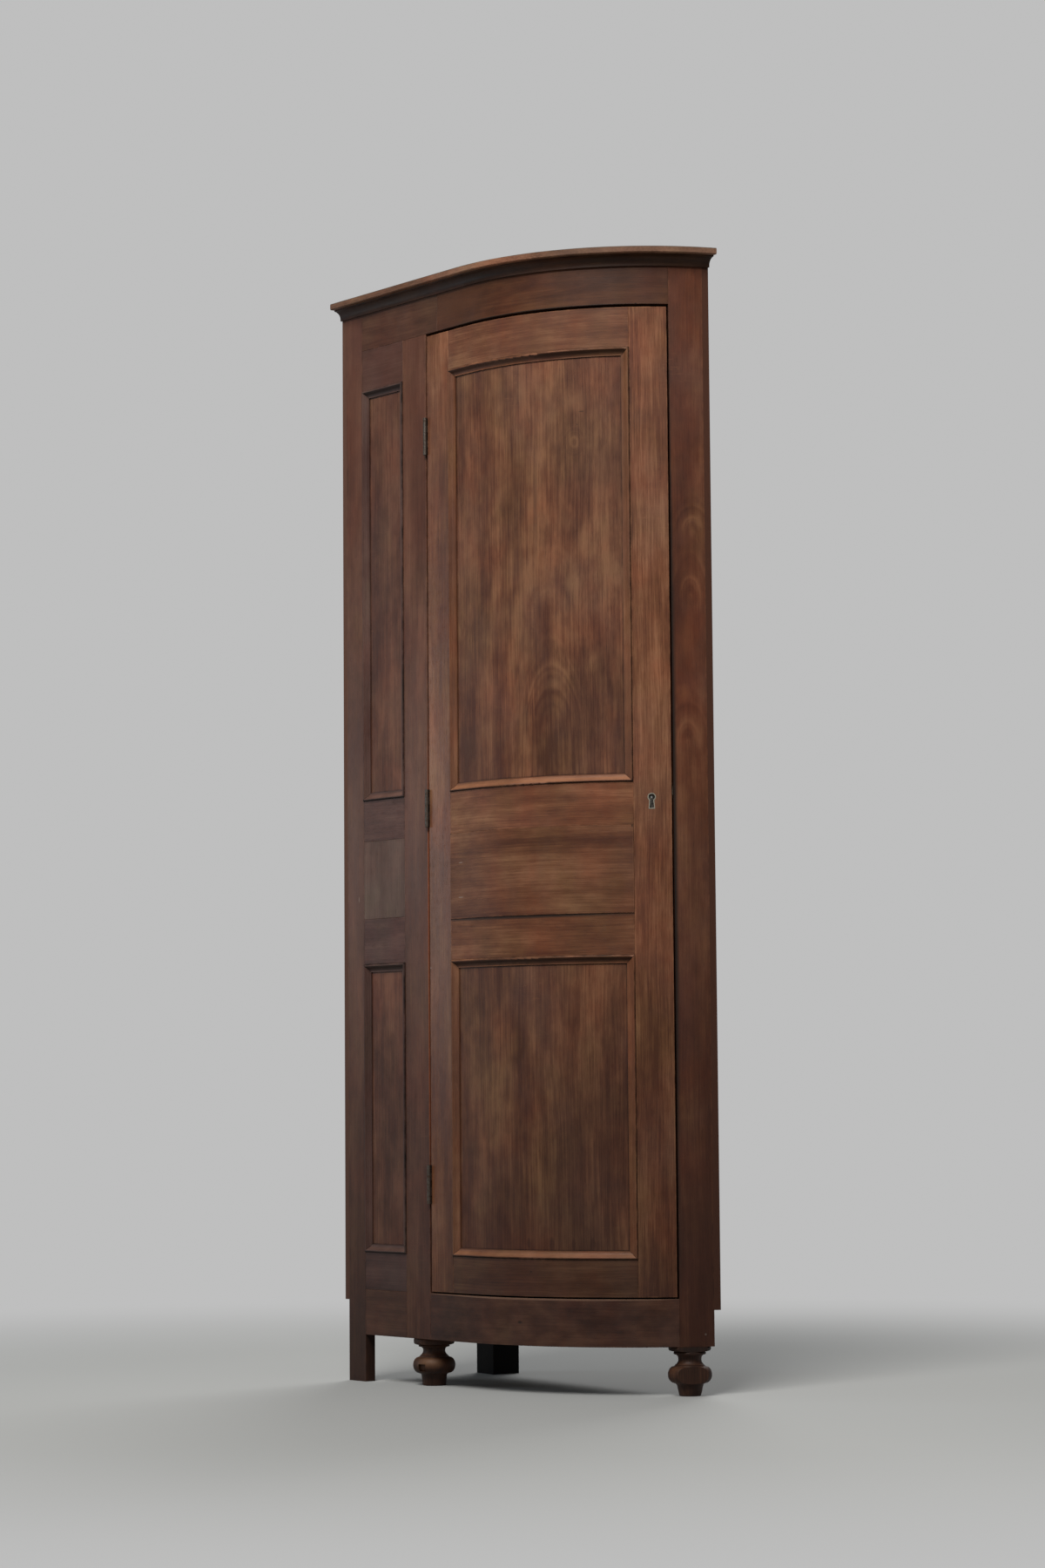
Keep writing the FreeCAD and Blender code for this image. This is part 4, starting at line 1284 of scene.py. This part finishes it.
@dataclass
class Return:
    """The flat panelled side on the left of the door."""

    seed: float = 21.0
    bloom_share: float = 0.4

    def dress(self) -> None:
        """Gives the return its woods, cooler than the door's."""
        PanelledBay(
            "return", RETURN, CARCASS, self.seed, Grain.UP_FRONT, RETURN_BOARD,
            bloom_share=self.bloom_share,
            shares={"lower_panel": 1.2, "bottom_rail": 0.9, "top_rail": 0.95, "upper_moulding": 0.85,
                    "lower_moulding": 0.85},
            marks={"top_rail": (Mark(0.130, 1.930, 0.200, 0.120, DARK_RED, 0.35, 0.6, 0.3),)}).dress()


@dataclass
class Door:
    """Stiles of the door, and the bay between them."""

    seed: float = 111.0
    tear_half_width: float = 0.0012

    def marks(self) -> dict[str, tuple[Mark, ...]]:
        """Marks on the pieces between the stiles.

        Returns:
            The marks of each piece, by its name within the bay.
        """
        return {
            "mid_board": (
                Mark(0.334, 1.034, 0.0022, 0.0035, NICK_AND_SHADOW, sunk=1.0),
                Mark(0.7335, 1.031, 0.0016, 0.004, NICK_AND_SHADOW, sunk=1.0),
                Mark(0.364, 0.977, 0.007, self.tear_half_width, RUBBED, 0.45),
                Mark(0.364, 0.912, 0.009, self.tear_half_width, RUBBED, 0.45)),
            "upper_panel": (
                Haze(0.629, 1.822, 0.034, 0.026, PALE, 0.4, ragged=0.9),
                Haze(0.680, 1.700, 0.060, 0.100, DEEP, 0.35, ragged=0.6),
                Haze(0.550, 1.640, 0.0075, 0.120, DEEP, 0.55, 0.9, 0.6),
                Haze(0.517, 1.450, 0.0060, 0.130, PALE, 0.35, 0.9, 0.6),
                Haze(0.626, 1.480, 0.022, 0.022, PALE, 0.5, 0.9),
                Haze(0.590, 1.297, 0.018, 0.018, PALE, 0.35, 0.9),
                Haze(0.525, 1.240, 0.008, 0.070, DEEP, 0.5, 0.9),
                Haze(0.655, 1.250, 0.050, 0.140, DEEP, 0.35),
                Haze(0.560, 1.108, 0.150, 0.012, PALE, 0.3, 0.9),
                Mark(0.645, 1.801, 0.007, 0.0015, NICK_AND_SHADOW, 0.55),
                Mark(0.636, 1.777, 0.0014, 0.0014, NICK_AND_SHADOW, 0.9, sunk=1.0)),
            "lower_panel": (
                Mark(0.523, 0.274, 0.005, 0.013, DEEP, 0.6), Mark(0.572, 0.272, 0.006, 0.016, DEEP, 0.6),
                Mark(0.616, 0.273, 0.005, 0.012, DEEP, 0.6), Mark(0.652, 0.272, 0.007, 0.015, DEEP, 0.6),
                Haze(0.645, 0.400, 0.110, 0.230, DEEP, 0.55),
                # painted shade low down on the panel
                Haze(0.535, 0.230, 0.260, 0.240, LOW_SHADE_RED, 0.55, ragged=0.6),
                Haze(0.430, 0.660, 0.016, 0.120, DEEP, 0.35)),
            # painted shadow under the middle board's proud lower edge
            "lower_mid_rail": (Mark(0.5345, 0.8712, 0.300, 0.0060, NICK_AND_SHADOW, 0.9, 0.6, 0.2),),
            "bottom_rail": (Mark(0.532, 0.223, 0.003, 0.002, NICK_AND_SHADOW, 0.7),)}

    def dress_bay(self) -> None:
        """Gives the rails, middle board, panels and mouldings their woods."""
        PanelledBay(
            "door", DOOR, DOOR_PANEL, self.seed, Grain.ALONG_FRONT, DOOR,
            shares={"bottom_rail": 0.46, "lower_mid_rail": 0.90, "mid_board": 0.82, "top_rail": 0.84,
                    "upper_mid_rail": 1.04, "lower_moulding": 0.9, "upper_moulding": 0.85},
            figures={
                "upper_panel": (Figure(0.582, 1.0, 0.21, 0.014, 5.0, 50.0, 0.44, 0.11),
                                Figure(0.628, 1.744, 0.8, 0.004, 9.0, 80.0, 0.26, 0.026, True)),
                "lower_panel": (Figure(0.60, 0.15, 0.16, 0.02, 3.0, 60.0, 0.2, 0.08),)},
            marks=self.marks()).dress()

    def dress_stiles(self) -> None:
        """Gives both stiles their woods."""
        dress_front(
            "door_hinge_stile", Grain.UP_FRONT, DOOR.times(0.93), 31.3, rub=0.5, gloss=0.42,
            # painted cool sheen at mid-height
            marks=(Haze(0.300, 0.850, 0.070, 0.450, COOL_SHEEN, 0.3, ragged=0.4),
                   Mark(0.2709, 0.783, 0.0016, 0.0016, RUBBED, 0.9)))
        dress_front(
            "door_lock_stile", Grain.UP_FRONT, DOOR.times(1.02), 33.7, streak=0.6, ribbon=0.8, rub=0.5,
            low_shade=0.5)

    def dress(self) -> None:
        """Gives the whole door its woods."""
        self.dress_bay()
        self.dress_stiles()


@dataclass
class Cornice:
    """Top board and cove."""

    dust: Colour = ATTIC_DUST
    chip: Mark = Mark(0.228, 2.0715, 0.022, 0.004, RUBBED, 0.6, sunk=0.6)

    def dress(self) -> None:
        """Gives the cornice its woods."""
        dress("top_board", Wood(
            "top_board_wood", Grain.ALONG_X, CORNICE_EDGE, 41.2, low_shade=0.0, worn_top=1.0,
            worn_colour=self.dust))
        # the cove's tone holds painted shade under the top board
        dress_front("cornice_cove_side", Grain.ALONG_FRONT, CORNICE, 43.1, streak=0.35, low_shade=0.0,
                    marks=(self.chip,))
        dress_front("cornice_cove_bowed", Grain.ALONG_FRONT, CORNICE, 45.1, streak=0.35, low_shade=0.0)


@dataclass
class TurnedFoot:
    """A foot as it left the lathe, built up ring by ring from the floor.

    The rings of its outline are in shares of the bulb's radius and of the foot's height. Bulb, bead and
    cap each have a lowest, a widest and a highest ring, and so many rings between.
    """

    node: str
    side: str
    seed: float
    tone: Tone = FOOT
    height: float = 0.089
    bulb_radius: float = 0.040
    tenon_radius: float = 0.009
    tenon_length: float = 0.028
    cap_drop: float = 0.0
    toe_spread: float = 0.0
    marks: tuple[Mark, ...] = ()
    sides: int = 96
    crease: float = math.radians(38.0)
    toe: tuple[Ring, ...] = (
        (0.455, 0.0), (0.48, 0.006), (0.505, 0.03), (0.55, 0.12), (0.60, 0.22), (0.625, 0.235),
        (0.66, 0.25))
    neck: tuple[Ring, ...] = (
        (0.69, 0.612), (0.655, 0.616), (0.655, 0.632), (0.625, 0.64), (0.61, 0.645), (0.565, 0.668),
        (0.535, 0.695), (0.52, 0.73), (0.527, 0.765), (0.555, 0.798), (0.60, 0.82), (0.605, 0.83),
        (0.66, 0.832))
    cap_step: tuple[Ring, ...] = ((0.69, 0.900), (0.84, 0.903))
    bulb: tuple[Ring, Ring, Ring] = ((0.66, 0.25), (1.0, 0.435), (0.70, 0.60))
    bulb_rings: int = 18
    bead: tuple[Ring, Ring, Ring] = ((0.70, 0.834), (0.735, 0.862), (0.70, 0.890))
    bead_rings: int = 8
    cap: tuple[Ring, Ring, Ring] = ((0.88, 0.906), (0.965, 0.95), (0.93, 0.996))
    cap_rings: int = 10
    toe_top: float = 0.22
    cap_bottom: float = 0.76
    cap_lowest: float = 0.90
    cap_fade: float = 0.09

    def centre(self) -> Vector:
        """Middle of the foot on the floor, under the tenon on top of its node.

        Returns:
            The point.
        """
        points = [vertex.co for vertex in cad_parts[self.node].data.vertices]
        top = max(point.z for point in points)
        tenon = [point for point in points if point.z > top - 0.001]
        middle = sum(tenon, Vector()) / len(tenon)
        return Vector((middle.x, middle.y, 0.0))

    def outline(self) -> list[Ring]:
        """Every ring, from the toe through bulb, neck, bead and cap to the tenon.

        Returns:
            Radius and height of each.
        """
        bulb = swell(*self.bulb, self.bulb_rings)
        bead = swell(*self.bead, self.bead_rings)
        cap = swell(*self.cap, self.cap_rings)
        rings = []
        for radius, height in (*self.toe, *bulb, *self.neck, *bead, *self.cap_step, *cap):
            spread = max(0.0, 1.0 - height / self.toe_top)
            rise = (height - self.cap_bottom) / (self.cap_lowest - self.cap_bottom)
            drop = max(0.0, min(1.0, rise)) * min(1.0, (1.0 - height) / self.cap_fade)
            rings.append(((radius + self.toe_spread * spread) * self.bulb_radius,
                          (height - self.cap_drop * drop) * self.height))
        tenon_top = self.height + self.tenon_length
        return rings + [(self.tenon_radius, self.height), (self.tenon_radius, tenon_top)]

    def shape(self, foot: bpy.types.Object) -> None:
        """Changes the turned foot; this one stays as it was turned."""

    def build(self) -> None:
        """Turns the foot and gives it its shape, wood and body."""
        foot = turned(self.outline(), self.sides, self.centre())
        foot.name = f"{self.side}_foot_turned"
        self.shape(foot)
        deselect(foot)
        bpy.ops.object.shade_smooth_by_angle(angle=self.crease)
        # painted light on the foot's upward faces
        wood = Wood(f"{self.side}_foot_wood", Grain.UPRIGHT, self.tone, self.seed, low_shade=0.0,
                    worn_top=0.5, marks=self.marks)
        foot.data.materials.append(wood.material())
        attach(foot, "carcass")
        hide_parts(self.node)
        log.info("%s replaces %s", foot.name, self.node)


@dataclass
class NickedFoot(TurnedFoot):
    """A turned foot with a small square knocked out of its bulb."""

    nick_bearing: float = math.radians(-67.5)
    nick_height: float = 0.0345
    nick_half_angle: float = math.radians(10.0)
    nick_half_height: float = 0.0066
    nick_depth: float = 0.004
    nick_reach: float = 0.7

    def shape(self, foot: bpy.types.Object) -> None:
        """Sinks the nick.

        Args:
            foot: the turned foot.
        """
        centre = self.centre()
        select_faces(foot, lambda face: self.in_nick(face.center - centre))
        inward = Vector((-math.cos(self.nick_bearing), -math.sin(self.nick_bearing), 0.0)) * self.nick_depth
        bpy.ops.mesh.extrude_region_move(TRANSFORM_OT_translate={"value": inward})

    def in_nick(self, offset: Vector) -> bool:
        """Whether a face lies in the nick.

        Args:
            offset: the face's middle, seen from the foot's.

        Returns:
            Whether it does.
        """
        turn = math.atan2(offset.y, offset.x) - self.nick_bearing
        turn = math.atan2(math.sin(turn), math.cos(turn))
        return (abs(turn) < self.nick_half_angle
                and abs(offset.z - self.nick_height) < self.nick_half_height
                and offset.xy.length > self.bulb_radius * self.nick_reach)


@dataclass
class PlanedFoot(TurnedFoot):
    """A turned foot planed flat where it would stand out of the front."""

    def shape(self, foot: bpy.types.Object) -> None:
        """Planes the foot.

        Args:
            foot: the turned foot.
        """
        run, _ = plan.run_and_depth(self.centre())
        bpy.ops.mesh.bisect(
            plane_co=plan.point(run, 0.0, 0.0), plane_no=plan.outward(run), use_fill=True, clear_outer=True)


@dataclass
class Feet:
    """Turned feet and the blocks that they are let into."""

    cap_drop: float = 0.045
    toe_spread: float = 0.06

    def build(self) -> None:
        """Builds both feet and dresses their blocks."""
        NickedFoot(
            "left_turned_foot", "left", 51.3, FOOT.times(0.82), cap_drop=self.cap_drop,
            toe_spread=self.toe_spread,
            marks=(Haze(-0.021, 0.047, 0.018, 0.015, PALE, 0.6, ragged=0.3),)).build()
        PlanedFoot(
            "right_turned_foot", "right", 53.3, FOOT.times(0.72),
            # painted shadow over the foot's cap
            marks=(Mark(0.158, 0.084, 0.10, 0.009, NICK_AND_SHADOW, 0.65, 0.6, 0.2),)).build()
        dress("foot_blocks", Wood("foot_block_wood", Grain.UPRIGHT, SHADED_BACK_LEG.times(6.0), 55.3))


@dataclass
class SlottedScrews:
    """Countersunk screws with sawn slots, in place of the plain ones of a node.

    Rim points lie within a skin of the outermost one, and two of them that are less than so many head
    radii apart are on one head.
    """

    node: str
    body: str
    direction: Vector
    count: int
    head_radius: float = 0.0034
    head_depth: float = 0.0016
    shank_radius: float = 0.0017
    length: float = 0.016
    point_length: float = 0.004
    point_share: float = 0.2
    slot_half_width: float = 0.00045
    slot_depth: float = 0.0007
    sides: int = 24
    crease: float = math.radians(30.0)
    rim_skin: float = 0.0002
    apart: float = 2.5
    first_turn: float = 0.4
    turn_step: float = 0.9

    def heads(self) -> list[Vector]:
        """Middles of the heads, found in the node's mesh.

        Returns:
            The middles.
        """
        points = [vertex.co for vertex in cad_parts[self.node].data.vertices]
        outer = min(point.dot(self.direction) for point in points)
        reach = self.apart * self.head_radius
        groups: list[list[Vector]] = []
        for rim in (point for point in points if point.dot(self.direction) < outer + self.rim_skin):
            near = next((group for group in groups if (group[0] - rim).length < reach), None)
            if near is None:
                groups.append([rim])
            else:
                near.append(rim)
        found = []
        for group in groups:
            low = Vector(min(point[axis] for point in group) for axis in range(3))
            high = Vector(max(point[axis] for point in group) for axis in range(3))
            found.append((low + high) / 2)
        return found

    def pattern(self) -> bpy.types.Object:
        """Models one screw at the origin, head up, and saws its slot.

        Returns:
            The screw.
        """
        screw = turned([
            (self.head_radius, 0.0), (self.shank_radius, -self.head_depth),
            (self.shank_radius, self.point_length - self.length),
            (self.shank_radius * self.point_share, -self.length)], self.sides)
        for side in (-1.0, 1.0):
            bpy.ops.mesh.select_all(action="SELECT")
            bpy.ops.mesh.bisect(plane_co=(side * self.slot_half_width, 0.0, 0.0), plane_no=(1.0, 0.0, 0.0))
        select_faces(screw, lambda face: face.normal.z > 0.9 and abs(face.center.x) < self.slot_half_width)
        bpy.ops.mesh.extrude_region_move(TRANSFORM_OT_translate={"value": (0.0, 0.0, -self.slot_depth)})
        deselect(screw)
        return screw

    def build(self) -> None:
        """Sets a copy of the screw at every head, each with its slot turned its own way."""
        pattern = self.pattern()
        heads = self.heads()
        if len(heads) != self.count:
            log.warning("%s: %d heads found, %d expected", self.node, len(heads), self.count)
        aim = (-self.direction).to_track_quat("Z", "Y").to_matrix().to_4x4()
        copies = []
        for number, head in enumerate(heads):
            copy = pattern.copy()
            copy.data = pattern.data.copy()
            bpy.context.scene.collection.objects.link(copy)
            turn = Matrix.Rotation(self.turn_step * number + self.first_turn, 4, "Z")
            copy.data.transform(Matrix.Translation(head) @ aim @ turn)
            copies.append(copy)
        bpy.data.objects.remove(pattern)
        deselect(*copies)
        bpy.ops.object.join()
        screws = bpy.context.object
        screws.name = self.node + "_slotted"
        bpy.ops.object.shade_smooth_by_angle(angle=self.crease)
        screws.data.materials.append(SCREW_STEEL.material())
        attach(screws, self.body)
        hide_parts(self.node)
        log.info("%s replaces %s", screws.name, self.node)


@dataclass
class Interior:
    """Wall boards, inner frame, shelves and stops."""

    along_x: tuple[str, ...] = (
        "back_floor_rail", "back_top_rail", "bottom_board", "lowest_shelf", "lower_middle_shelf",
        "upper_middle_shelf", "highest_shelf", "shelf_battens")
    along_y: tuple[str, ...] = ("left_floor_rail", "left_top_rail")
    board_thickness: float = 0.012
    left_board_width: float = 0.120
    left_board_count: int = 3
    back_board_count: int = 6
    edge_height: float = 1.10
    edge_half_width: float = 0.010
    edge_half_height: float = 3.0

    def edge(self, place: float, colour: Colour) -> Mark:
        """The worn edge of a wall, that shows from the front."""
        return Mark(place, self.edge_height, self.edge_half_width, self.edge_half_height, colour,
                    strength=1.0, softness=0.3, ragged=0.1)

    def dress_walls(self) -> None:
        """Gives the wall boards and the corner post their woods."""
        # the corner post's near-black is painted shade
        dress("back_corner_post", Wood(
            "back_corner_wood", Grain.UPRIGHT, SHADED_BACK_LEG, 61.3, gloss=0.85, bloom_share=0.0))
        corner = plan.room_corner
        front_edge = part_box("left_wall_boards")[0].y
        right_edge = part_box("back_wall_boards")[1].x
        back_start = corner.x + self.board_thickness
        left = Boarding(corner.y - self.left_board_count * self.left_board_width, self.left_board_width,
                        self.left_board_count)
        back_board_width = (right_edge - back_start) / self.back_board_count
        back = Boarding(back_start, back_board_width, self.back_board_count)
        dress("left_wall_boards", Wood(
            "left_wall_wood", Grain.UP_LEFT_WALL, ROUGH, 63.1, streak=0.6, gloss=0.7, boarding=left,
            marks=(self.edge(front_edge, WORN_EDGE),)))
        dress("back_wall_boards", Wood(
            "back_wall_wood", Grain.UP_BACK_WALL, ROUGH, 65.9, streak=0.6, gloss=0.7, boarding=back,
            marks=(self.edge(right_edge, POLISHED_EDGE),)))

    def dress(self) -> None:
        """Gives every inner piece its wood."""
        self.dress_walls()
        for nodes, grain, seed in (
                (self.along_x, Grain.ALONG_X, 67.7), (self.along_y, Grain.ALONG_Y, 81.7)):
            for number, node in enumerate(nodes):
                dress(node, Wood(node + "_wood", grain, INNER, seed + number, gloss=0.6))
        dress("door_stop_right", Wood("stop_right_wood", Grain.UP_FRONT, INNER, 84.1, gloss=0.6))
        dress("door_stop_top", Wood("stop_top_wood", Grain.ALONG_FRONT, INNER, 86.1, gloss=0.6))


@dataclass
class Ironmongery:
    """Hinges, screws and the lock."""

    finishes: tuple[tuple[OldMetal, tuple[str, ...]], ...] = (
        (DARK_IRON, ("hinge_pins", "hinge_post_leaves", "hinge_door_leaves")),
        (DULL_STEEL, ("lock_case", "lock_bolt")),
        (PIN_STEEL, ("lock_drill_pin",)),
        (OLD_BRASS, ("key_escutcheon", "strike_plate")))
    hinge_screws: int = 9
    lock_screws: int = 4
    lock_screw_length: float = 0.010
    lock_run: float = 0.76953

    def build(self) -> None:
        """Gives every metal piece its finish, and the screws their slots."""
        for metal, nodes in self.finishes:
            for node in nodes:
                dress(node, metal)
        SlottedScrews("hinge_post_screws", "carcass", -plan.along, self.hinge_screws).build()
        SlottedScrews("hinge_door_screws", "door", plan.along, self.hinge_screws).build()
        SlottedScrews("lock_screws", "door", plan.outward(self.lock_run), self.lock_screws,
                      length=self.lock_screw_length).build()


# The studio

@dataclass(frozen=True)
class Lamp:
    """One soft square lamp: where it hangs, the point it looks at, its side, its watts and its colour."""

    name: str
    place: tuple[float, float, float]
    target: tuple[float, float, float]
    size: float
    power: float
    colour: Colour

    def hang(self) -> None:
        """Adds the lamp to the scene."""
        data = bpy.data.lights.new(self.name, "AREA")
        data.shape = "SQUARE"
        data.size = self.size
        data.energy = self.power
        data.color = self.colour
        lamp = bpy.data.objects.new(self.name, data)
        lamp.location = self.place
        lamp.rotation_euler = (Vector(self.target) - Vector(self.place)).to_track_quat("-Z", "Y").to_euler()
        bpy.context.scene.collection.objects.link(lamp)
        log.info("%s hung", self.name)


@dataclass
class Studio:
    """Pale floor that fades into a pale wall all round, soft lamps and the photograph's camera."""

    floor_size: float = 60.0
    floor_colour: Colour = (0.34, 0.34, 0.33)
    floor_shade: float = 0.97
    floor_cloud_rate: float = 0.7
    floor_roughness: float = 0.8
    wall_colour: Colour = (0.52, 0.52, 0.52)
    wall_start: float = 1.0
    wall_end: float = 3.0
    air_colour: Colour = (0.93, 0.97, 1.0)
    air_strength: float = 0.2
    eye: tuple[float, float, float] = (5.5819, -3.5321, 0.548)
    heading: tuple[float, float, float] = (-0.8448, 0.5351, 0.0)
    tilt: float = math.radians(5.014)
    roll: float = math.radians(-0.4408)
    focal_length: float = 80.72
    film_width: float = 36.0
    lamps: tuple[Lamp, ...] = (
        Lamp("high_lamp", (2.4, -3.15, 5.4), (0.0, 0.0, 1.2), 2.6, 400.0, (1.0, 0.99, 0.97)),
        Lamp("left_lamp", (-3.0, -3.1, 1.45), (-0.2, -0.1, 1.1), 1.4, 26.0, (0.78, 0.9, 1.0)),
        Lamp("back_lamp", (-2.6, 3.0, 4.4), (0.0, 0.0, 1.0), 3.0, 170.0, WHITE))

    def lay_floor(self) -> None:
        """Lays the floor, which takes on the colour of the wall away from the object."""
        bpy.ops.mesh.primitive_plane_add(size=self.floor_size)
        plane = bpy.context.object
        plane.name = "studio_floor"
        graph = Graph.material("studio_floor_paint")
        x, y, z = graph.object_place()
        cloud = graph.noise(graph.vector(x * self.floor_cloud_rate, y * self.floor_cloud_rate, z), 3.0)
        darker = times(self.floor_colour, self.floor_shade)
        colour = graph.ramp(cloud, [(0.3, darker), (0.7, self.floor_colour)])
        lit = graph.shader(colour, cloud * 0.1 + self.floor_roughness, cloud)
        wall = graph.node("ShaderNodeEmission", inputs={"Color": (*self.wall_colour, 1.0)})
        rays = graph.node("ShaderNodeLightPath")
        camera, glossy, transmission = (
            graph.output(rays, name) for name in ("Is Camera Ray", "Is Glossy Ray", "Is Transmission Ray"))
        away = graph.distance(x, y).ramp(self.wall_start, self.wall_end)
        share = away * away * (3.0 - away * 2.0) * (camera + glossy + transmission).within()
        mix = graph.node("ShaderNodeMixShader", inputs={0: share, 1: lit, 2: graph.output(wall)})
        plane.data.materials.append(graph.closed(graph.output(mix)))
        log.info("studio_floor laid")

    def light_air(self) -> None:
        """Lights the air evenly, and shows a pale wall behind the object."""
        bpy.context.scene.world = bpy.data.worlds.new("studio")
        graph = Graph(bpy.context.scene.world)
        rays = graph.node("ShaderNodeLightPath")
        lit = graph.node("ShaderNodeBackground", inputs={
            "Color": (*self.air_colour, 1.0), "Strength": self.air_strength})
        seen = graph.node("ShaderNodeBackground", inputs={"Color": (*self.wall_colour, 1.0)})
        mix = graph.node("ShaderNodeMixShader", inputs={
            0: graph.output(rays, "Is Camera Ray"), 1: graph.output(lit), 2: graph.output(seen)})
        graph.node("ShaderNodeOutputWorld", inputs={0: graph.output(mix)})

    def set_camera(self) -> None:
        """Sets up the camera of the photograph."""
        upright = Vector((0.0, 0.0, 1.0))
        forward = Vector(self.heading) * math.cos(self.tilt) + upright * math.sin(self.tilt)
        right = forward.cross(upright).normalized()
        up = right.cross(forward)
        c, s = math.cos(self.roll), math.sin(self.roll)
        rows = (right * c + up * s, up * c - right * s, -forward)
        data = bpy.data.cameras.new("photograph_view")
        data.lens = self.focal_length
        data.sensor_width = self.film_width
        camera = bpy.data.objects.new("photograph_view", data)
        camera.matrix_world = Matrix.Translation(self.eye) @ Matrix(rows).transposed().to_4x4()
        bpy.context.scene.collection.objects.link(camera)
        bpy.context.scene.camera = camera

    def build(self) -> None:
        """Sets up the whole studio."""
        self.lay_floor()
        self.light_air()
        for lamp in self.lamps:
            lamp.hang()
        bpy.context.scene.view_settings.view_transform = "Standard"
        self.set_camera()
        log.info("studio ready")


def main() -> None:
    """Builds and dresses every sub-assembly in order."""
    logging.basicConfig(level=logging.INFO, format="%(name)s: %(message)s")
    FrontFrame().dress()
    Return().dress()
    Door().dress()
    Cornice().dress()
    Feet().build()
    Interior().dress()
    Ironmongery().build()
    Studio().build()


if __name__ == "__main__":
    main()
